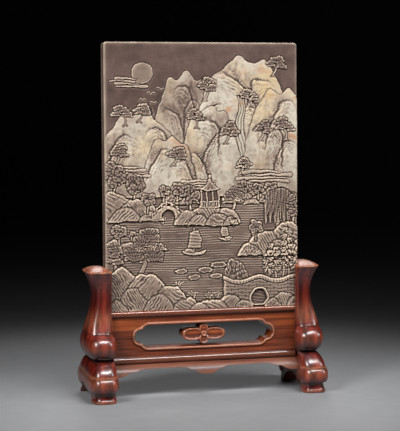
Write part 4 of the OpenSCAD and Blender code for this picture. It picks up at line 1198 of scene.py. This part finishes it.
layReeds(((-27, 22, 9), (-10, 12, 8), (6, 10, 8), (14, 12, 7), (-42, 88, 7), (-16, 84, 6), (32, 84, 7),
          (47, 55, 8), (57, 53, 7), (36, 107, 6), (-27, 108, 6), (62, 107, 5), (-52, 61, 7), (-40, 60, 6),
          (-66, 60, 6), (30, 86, 6)), 371)
print("picture carved")


# mean of each point and its neighbours, weighted 1 2 1 both ways, over and over
def softened(a, passes):
    for _ in range(passes):
        for axis in (0, 1):
            wide = np.pad(a, [(1, 1) if k == axis else (0, 0) for k in (0, 1)], "edge")
            wide = np.roll(wide, 1, axis) + 2 * wide + np.roll(wide, -1, axis)
            a = wide.take(range(1, a.shape[axis] + 1), axis) / 4
    return a


carve = np.clip(carve + 0.06 * rugged(picX, picH, 2.2, 81), -0.7, reliefDeep)
carve = np.clip(carve + 0.9 * (carve - softened(carve, 6)), -1.0, reliefDeep)     # edges cut back steeper
carve = softened(carve, 1)
tone = softened(np.clip(tone, 0, 1), 2)
near, nearby, far = (carve - softened(carve, passes) for passes in (5, 18, 70))
tone = tone - 0.5 * tone * np.clip(-1.6 * nearby - 0.7 * far, 0, 0.9)    # brown in the pale hollows: stain, and painted shade
edgeLightness = 0.9 + 0.9 * rugged(picX, picH, 12, 82)            # some edges are lighter than others
# lighter edges: wear on the high places, and a painted highlight along them
edgeWearAndHighlight = (1.5 * near + 0.6 * nearby + 0.25 * far - 0.06) * edgeLightness * softened(rubAndHighlight, 2)
edgeWearAndHighlight = np.clip(edgeWearAndHighlight * (1 - 0.65 * tone), 0, 1)
# dark hollows: patina settled in them, and painted shade where light doesn't reach
hollowPatinaAndShade = np.clip(-1.5 * near - 0.8 * nearby - 0.4 * far - 0.03, 0, 1)


# distance in from the slab's outline, which has round upper corners
def fromOutline(x, h):
    r = slabShape["cornerR"]
    dx, dh = np.abs(x) - (slabW / 2 - r), h - (slabH - r)
    corner = r - np.hypot(np.maximum(dx, 0), np.maximum(dh, 0))
    return np.where((dx > 0) & (dh > 0), corner, np.minimum(slabW / 2 - np.abs(x), slabH - h))


# the slab's own outline is lightened too: wear, and a painted highlight along the rim
edgeWearAndHighlight = np.maximum(edgeWearAndHighlight, 0.75 * edgeLightness * np.exp(-fromOutline(picX, picH) / 0.9)).clip(0, 1)


# the front: every row is drawn in to the round corners, and the last millimetre rolls over the edge
def frontPoints():
    s = slabShape
    over = np.clip(hLine - (slabH - s["cornerR"]), 0, s["cornerR"])
    rowHalf = slabW / 2 - s["cornerR"] + np.sqrt(s["cornerR"] ** 2 - over ** 2)
    x = picX * (rowHalf / (slabW / 2))[:, None]
    inward = np.clip(fromOutline(x, picH), 0, s["edgeR"])
    roll = s["edgeR"] - np.sqrt(s["edgeR"] ** 2 - (s["edgeR"] - inward) ** 2)
    rough = 0.5 * np.abs(rugged(x, picH, 5, 91)) * np.exp(-inward / 0.8)
    return np.stack([x, s["groundY"] - carve + roll + rough, s["footZ"] + picH], -1)


# a closed tile of the front: its grid, walls back to the split, and one flat face behind
def makeTile(name, points, marks):
    rows, cols = points.shape[:2]
    ids = np.arange(rows * cols).reshape(rows, cols)
    loop = np.concatenate([ids[0, :-1], ids[:-1, -1], ids[-1, :0:-1], ids[:0:-1, 0]])
    rear = points.reshape(-1, 3)[loop].copy()
    rear[:, 1] = slabShape["splitY"]
    rearIds = rows * cols + np.arange(len(loop))
    walls = np.stack([loop, np.roll(loop, -1), np.roll(rearIds, -1), rearIds], -1)
    quads = np.concatenate([gridQuads(rows, cols)[:, ::-1], walls])
    rearMark = dict(pale=slabShape["plainPale"], edge=0.0, hollow=0.0)
    allMarks = {key: np.r_[values.ravel(), np.full(len(loop), rearMark[key])]
                for key, values in marks.items()}
    return makePiece(name, np.concatenate([points.reshape(-1, 3), rear]), quads, [rearIds], 60, allMarks)


# the rest of the slab: its outline carried from the split to the back, where the edges are rounded
def makeSlabBody():
    s = slabShape
    def outline(inset):
        r, count = max(s["cornerR"] - inset, 0.3), s["sideSteps"]
        turn = np.linspace(0, np.pi / 2, s["cornerSteps"])
        half, top = slabW / 2 - inset, slabH - inset
        right = np.c_[np.full(count, half), np.linspace(inset, top - r, count)]
        arc = np.c_[half - r + r * np.cos(turn), top - r + r * np.sin(turn)]
        across = np.c_[np.linspace(half - r, r - half, count)[1:-1], np.full(count - 2, top)]
        return np.concatenate([right, arc[1:], across, (arc * [-1, 1])[::-1], (right * [-1, 1])[::-1][1:]])
    bend = np.linspace(0, np.pi / 2, s["bendSteps"])
    insets = np.r_[0, 0, 0, s["edgeR"] * (1 - np.cos(bend))]
    depths = np.r_[s["splitY"], s["wallRows"], s["backY"] - s["edgeR"] + s["edgeR"] * np.sin(bend)]
    loops = np.array([np.c_[o[:, 0], np.full(len(o), y), s["footZ"] + o[:, 1]]
                      for o, y in zip(map(outline, insets), depths)])
    zero = np.zeros(loops.shape[:2])
    backward = smoothStep(s["splitY"], s["backY"], loops[..., 1])
    return makeTube("slab_back", loops, 50,
                    {"pale": s["plainPale"] + s["backPale"] * backward, "edge": zero, "hollow": zero})


# purple-brown stone with a pale layer: mottled ground, cream layer stained yellow and rust, dark
# hollows that are patina and painted shade, and lighter edges that are wear and painted highlight
def carvedStone(name, s):
    n = Nodes(name)
    mottle = n.noise(n.objectPoints(s["mottleSize"]), detail=5, rough=0.6)
    cloud = n.noise(n.objectPoints(s["cloudSize"], (0.3, 0.1, 0.7)), detail=3)
    grain = n.noise(n.objectPoints(s["grainSize"]), detail=3, rough=0.7)
    veins = n.noise(n.objectPoints(s["veinSize"], (0.9, 0.2, 0.4)), detail=5, rough=0.6, warp=1.2)
    dark = n.ramp(mottle, s["groundStops"])
    paleColour = n.ramp(mottle, s["paleStops"])
    paleColour = n.blend(n.span(cloud, 0.5, 0.66, 0, 0.75), paleColour, (*s["yellow"], 1))
    paleColour = n.blend(n.span(veins, 0.56, 0.65, 0, 0.7), paleColour, (*s["rust"], 1))
    share = n.math("ADD", n.mark("pale"), n.span(grain, 0.3, 0.7, -0.04, 0.04), clamp=True)
    colour = n.blend(n.span(share, 0.02, 0.36), dark, n.ramp(mottle, s["warmStops"]))
    colour = n.blend(n.span(share, 0.34, 0.85), colour, paleColour)
    colour = n.blend(n.span(grain, 0.35, 0.75, 0, 0.22), colour, (*s["fleck"], 1), "MULTIPLY")
    # dark hollows: patina and painted shade; lighter edges: wear and painted highlight
    colour = n.blend(n.math("MULTIPLY", n.mark("hollow"), s["hollowShare"]), colour, (*s["hollow"], 1))
    colour = n.blend(n.math("MULTIPLY", n.mark("edge"), s["edgeShare"]), colour, (*s["rubbedAndLit"], 1))
    n.feed(n.shader.inputs["Base Color"], colour)
    n.feed(n.shader.inputs["Roughness"], n.span(mottle, 0.3, 0.7, 0.5, 0.68))
    n.shader.inputs["Specular IOR Level"].default_value = 0.3
    n.feed(n.shader.inputs["Normal"], n.bump(grain, 0.2, 0.0002))
    return n.material


slabStone = carvedStone("layered_slate", dict(
    mottleSize=(55, 55, 55), cloudSize=(16, 16, 16), grainSize=(1400, 1400, 1400), veinSize=(22, 40, 34),
    groundStops=[(0.3, (0.054, 0.031, 0.025)), (0.5, (0.082, 0.048, 0.039)), (0.72, (0.115, 0.071, 0.058))],
    warmStops=[(0.3, (0.175, 0.124, 0.094)), (0.5, (0.24, 0.175, 0.134)), (0.7, (0.31, 0.232, 0.18))],
    paleStops=[(0.3, (0.355, 0.305, 0.24)), (0.5, (0.45, 0.395, 0.315)), (0.7, (0.54, 0.485, 0.395))],
    yellow=(0.52, 0.36, 0.17), rust=(0.42, 0.185, 0.08), fleck=(0.6, 0.57, 0.55),
    hollow=(0.030, 0.020, 0.016), hollowShare=0.88, rubbedAndLit=(0.68, 0.54, 0.41), edgeShare=0.88))
frontGrid = frontPoints()
tileRows = np.linspace(0, slabShape["rows"] - 1, slabShape["tiles"] + 1).astype(int)
for k in range(slabShape["tiles"]):
    rows = slice(tileRows[k], tileRows[k + 1] + 1)
    tile = makeTile(f"slab_carving_{k + 1}", frontGrid[rows],
                    {"pale": tone[rows], "edge": edgeWearAndHighlight[rows], "hollow": hollowPatinaAndShade[rows]})
    dress(tile, "slab", ("stone_slab",), slabStone)
dress(makeSlabBody(), "slab", ("stone_slab",), slabStone)
print("slab done")

# camera at the photograph's angle, and soft studio light
cameraSet = dict(turn=14.504, pitch=3.949, roll=-0.352, focal=1459.2, distance=1467.7, sideShift=-1.115,
                 height=178.14, frameHeight=431, sensor=36)


# sets an object in the scene by the directions of its own axes and its place in metres
def setPlace(obj, x, y, z, place):
    matrix = np.eye(4)
    matrix[:3] = np.stack([x, y, z, place], -1)
    obj.matrix_world = Matrix(matrix.tolist())
    bpy.context.scene.collection.objects.link(obj)


def setCamera(c):
    a, p, r = np.radians([c["turn"], c["pitch"], c["roll"]])
    right = np.array([np.cos(a), -np.sin(a), 0])
    level = np.array([np.sin(a), np.cos(a), 0])
    upward = np.array([0, 0, 1.0])
    ahead = level * np.cos(p) - upward * np.sin(p)
    up = upward * np.cos(p) + level * np.sin(p)
    x = right * np.cos(r) + up * np.sin(r)
    y = -right * np.sin(r) + up * np.cos(r)
    place = (right * c["sideShift"] + upward * c["height"] - ahead * c["distance"]) * mm
    data = bpy.data.cameras.new("photo_camera")
    data.sensor_width = c["sensor"]
    data.lens = c["focal"] / c["frameHeight"] * c["sensor"]
    data.clip_end = 50
    camera = bpy.data.objects.new("photo_camera", data)
    setPlace(camera, x, y, -ahead, place)
    bpy.context.scene.camera = camera


setCamera(cameraSet)
lightSet = [                     # name, place and aim in metres, width, height, watts, spread in degrees
    ("overhead_box", (0.20, -0.60, 1.02), (0.02, -0.16, 0.16), 0.62, 0.20, 2.0, 70),
    ("left_box", (-0.72, -0.62, 0.74), (0, 0, 0.17), 0.36, 0.46, 2.7, 80),
    ("right_box", (0.80, -0.58, 0.68), (0, 0, 0.16), 0.24, 0.40, 0.95, 80),
    ("back_box", (0.25, 1.10, 1.00), (0, 0, 0.24), 0.90, 0.60, 0.42, 36)]


def addLight(name, place, aim, width, height, watts, spread):
    data = bpy.data.lights.new(name, "AREA")
    data.shape, data.size, data.size_y, data.energy = "RECTANGLE", width, height, watts
    data.spread = np.radians(spread)
    back = np.array(place) - np.array(aim)
    back /= np.linalg.norm(back)
    right = np.cross([0, 0, 1.0], back)
    right /= np.linalg.norm(right)
    setPlace(bpy.data.objects.new(name, data), right, np.cross(back, right), back, place)


for light in lightSet:
    addLight(*light)
worldSet = dict(Color=(0.9, 0.92, 1.0, 1), Strength=0.035)
world = bpy.data.worlds.new("studio")
world.use_nodes = True
for key, value in worldSet.items():
    world.node_tree.nodes["Background"].inputs[key].default_value = value
bpy.context.scene.world = world
bpy.context.scene.view_settings.view_transform = "Standard"

# the floor: a flat disc that turns up all round in a wide quarter circle and ends as a wall, the profile
# of radius and height turned about z
floorSet = dict(flat=2.2, bend=1.8, wallTop=7.0, around=128, middle=0.05, bendSteps=40, rough=0.6,
                speckSize=(60, 60, 60), fadeFrom=0.10, fadeTo=0.58,
                nearStops=[(0.3, (0.210, 0.213, 0.221)), (0.7, (0.228, 0.231, 0.239))],
                paintedDarkStops=[(0.3, (0.016, 0.016, 0.017)), (0.7, (0.020, 0.020, 0.021))])
floorEnd = floorSet["flat"] + floorSet["bend"]
bendTurn = np.linspace(0, np.pi / 2, floorSet["bendSteps"])
floorR = np.r_[floorSet["middle"], floorSet["flat"] + floorSet["bend"] * np.sin(bendTurn), floorEnd]
floorZ = np.r_[0, floorSet["bend"] * (1 - np.cos(bendTurn)), floorSet["wallTop"]]
floorTurn = ringTurns(floorSet["around"])
floorPoints = np.stack([floorR[:, None] * np.cos(floorTurn), floorR[:, None] * np.sin(floorTurn),
                        floorZ[:, None] + 0 * floorTurn], -1).reshape(-1, 3)
floorFaces = gridQuads(len(floorR), floorSet["around"], loopCols=True)[:, ::-1].tolist()
floorFaces.append(list(range(floorSet["around"])))
floorMesh = bpy.data.meshes.new("floor")
floorMesh.from_pydata(floorPoints.tolist(), [], floorFaces)
floorMesh.shade_smooth()
floor = bpy.data.objects.new("floor", floorMesh)
bpy.context.scene.collection.objects.link(floor)
floorNodes = Nodes("pale_floor")
speck = floorNodes.noise(floorNodes.objectPoints(floorSet["speckSize"]), detail=4)
nearTone, paintedDarkTone = (floorNodes.ramp(speck, floorSet[key]) for key in ("nearStops", "paintedDarkStops"))
# painted light: the floor is pale near the middle and fades to almost black further out, a painted pool of
# light
fromMiddle = floorNodes.add("VectorMath", {0: floorNodes.objectPoints((1, 1, 1))}, operation="LENGTH")
paintedLightPool = floorNodes.add("MapRange", {"Value": fromMiddle.outputs["Value"], "From Min": floorSet["fadeFrom"],
                                   "From Max": floorSet["fadeTo"]}, interpolation_type="SMOOTHSTEP")
floorNodes.feed(floorNodes.shader.inputs["Base Color"],
                floorNodes.blend(paintedLightPool.outputs[0], nearTone, paintedDarkTone))
floorNodes.shader.inputs["Roughness"].default_value = floorSet["rough"]
floorMesh.materials.append(floorNodes.material)
print("camera, lights and floor ready")
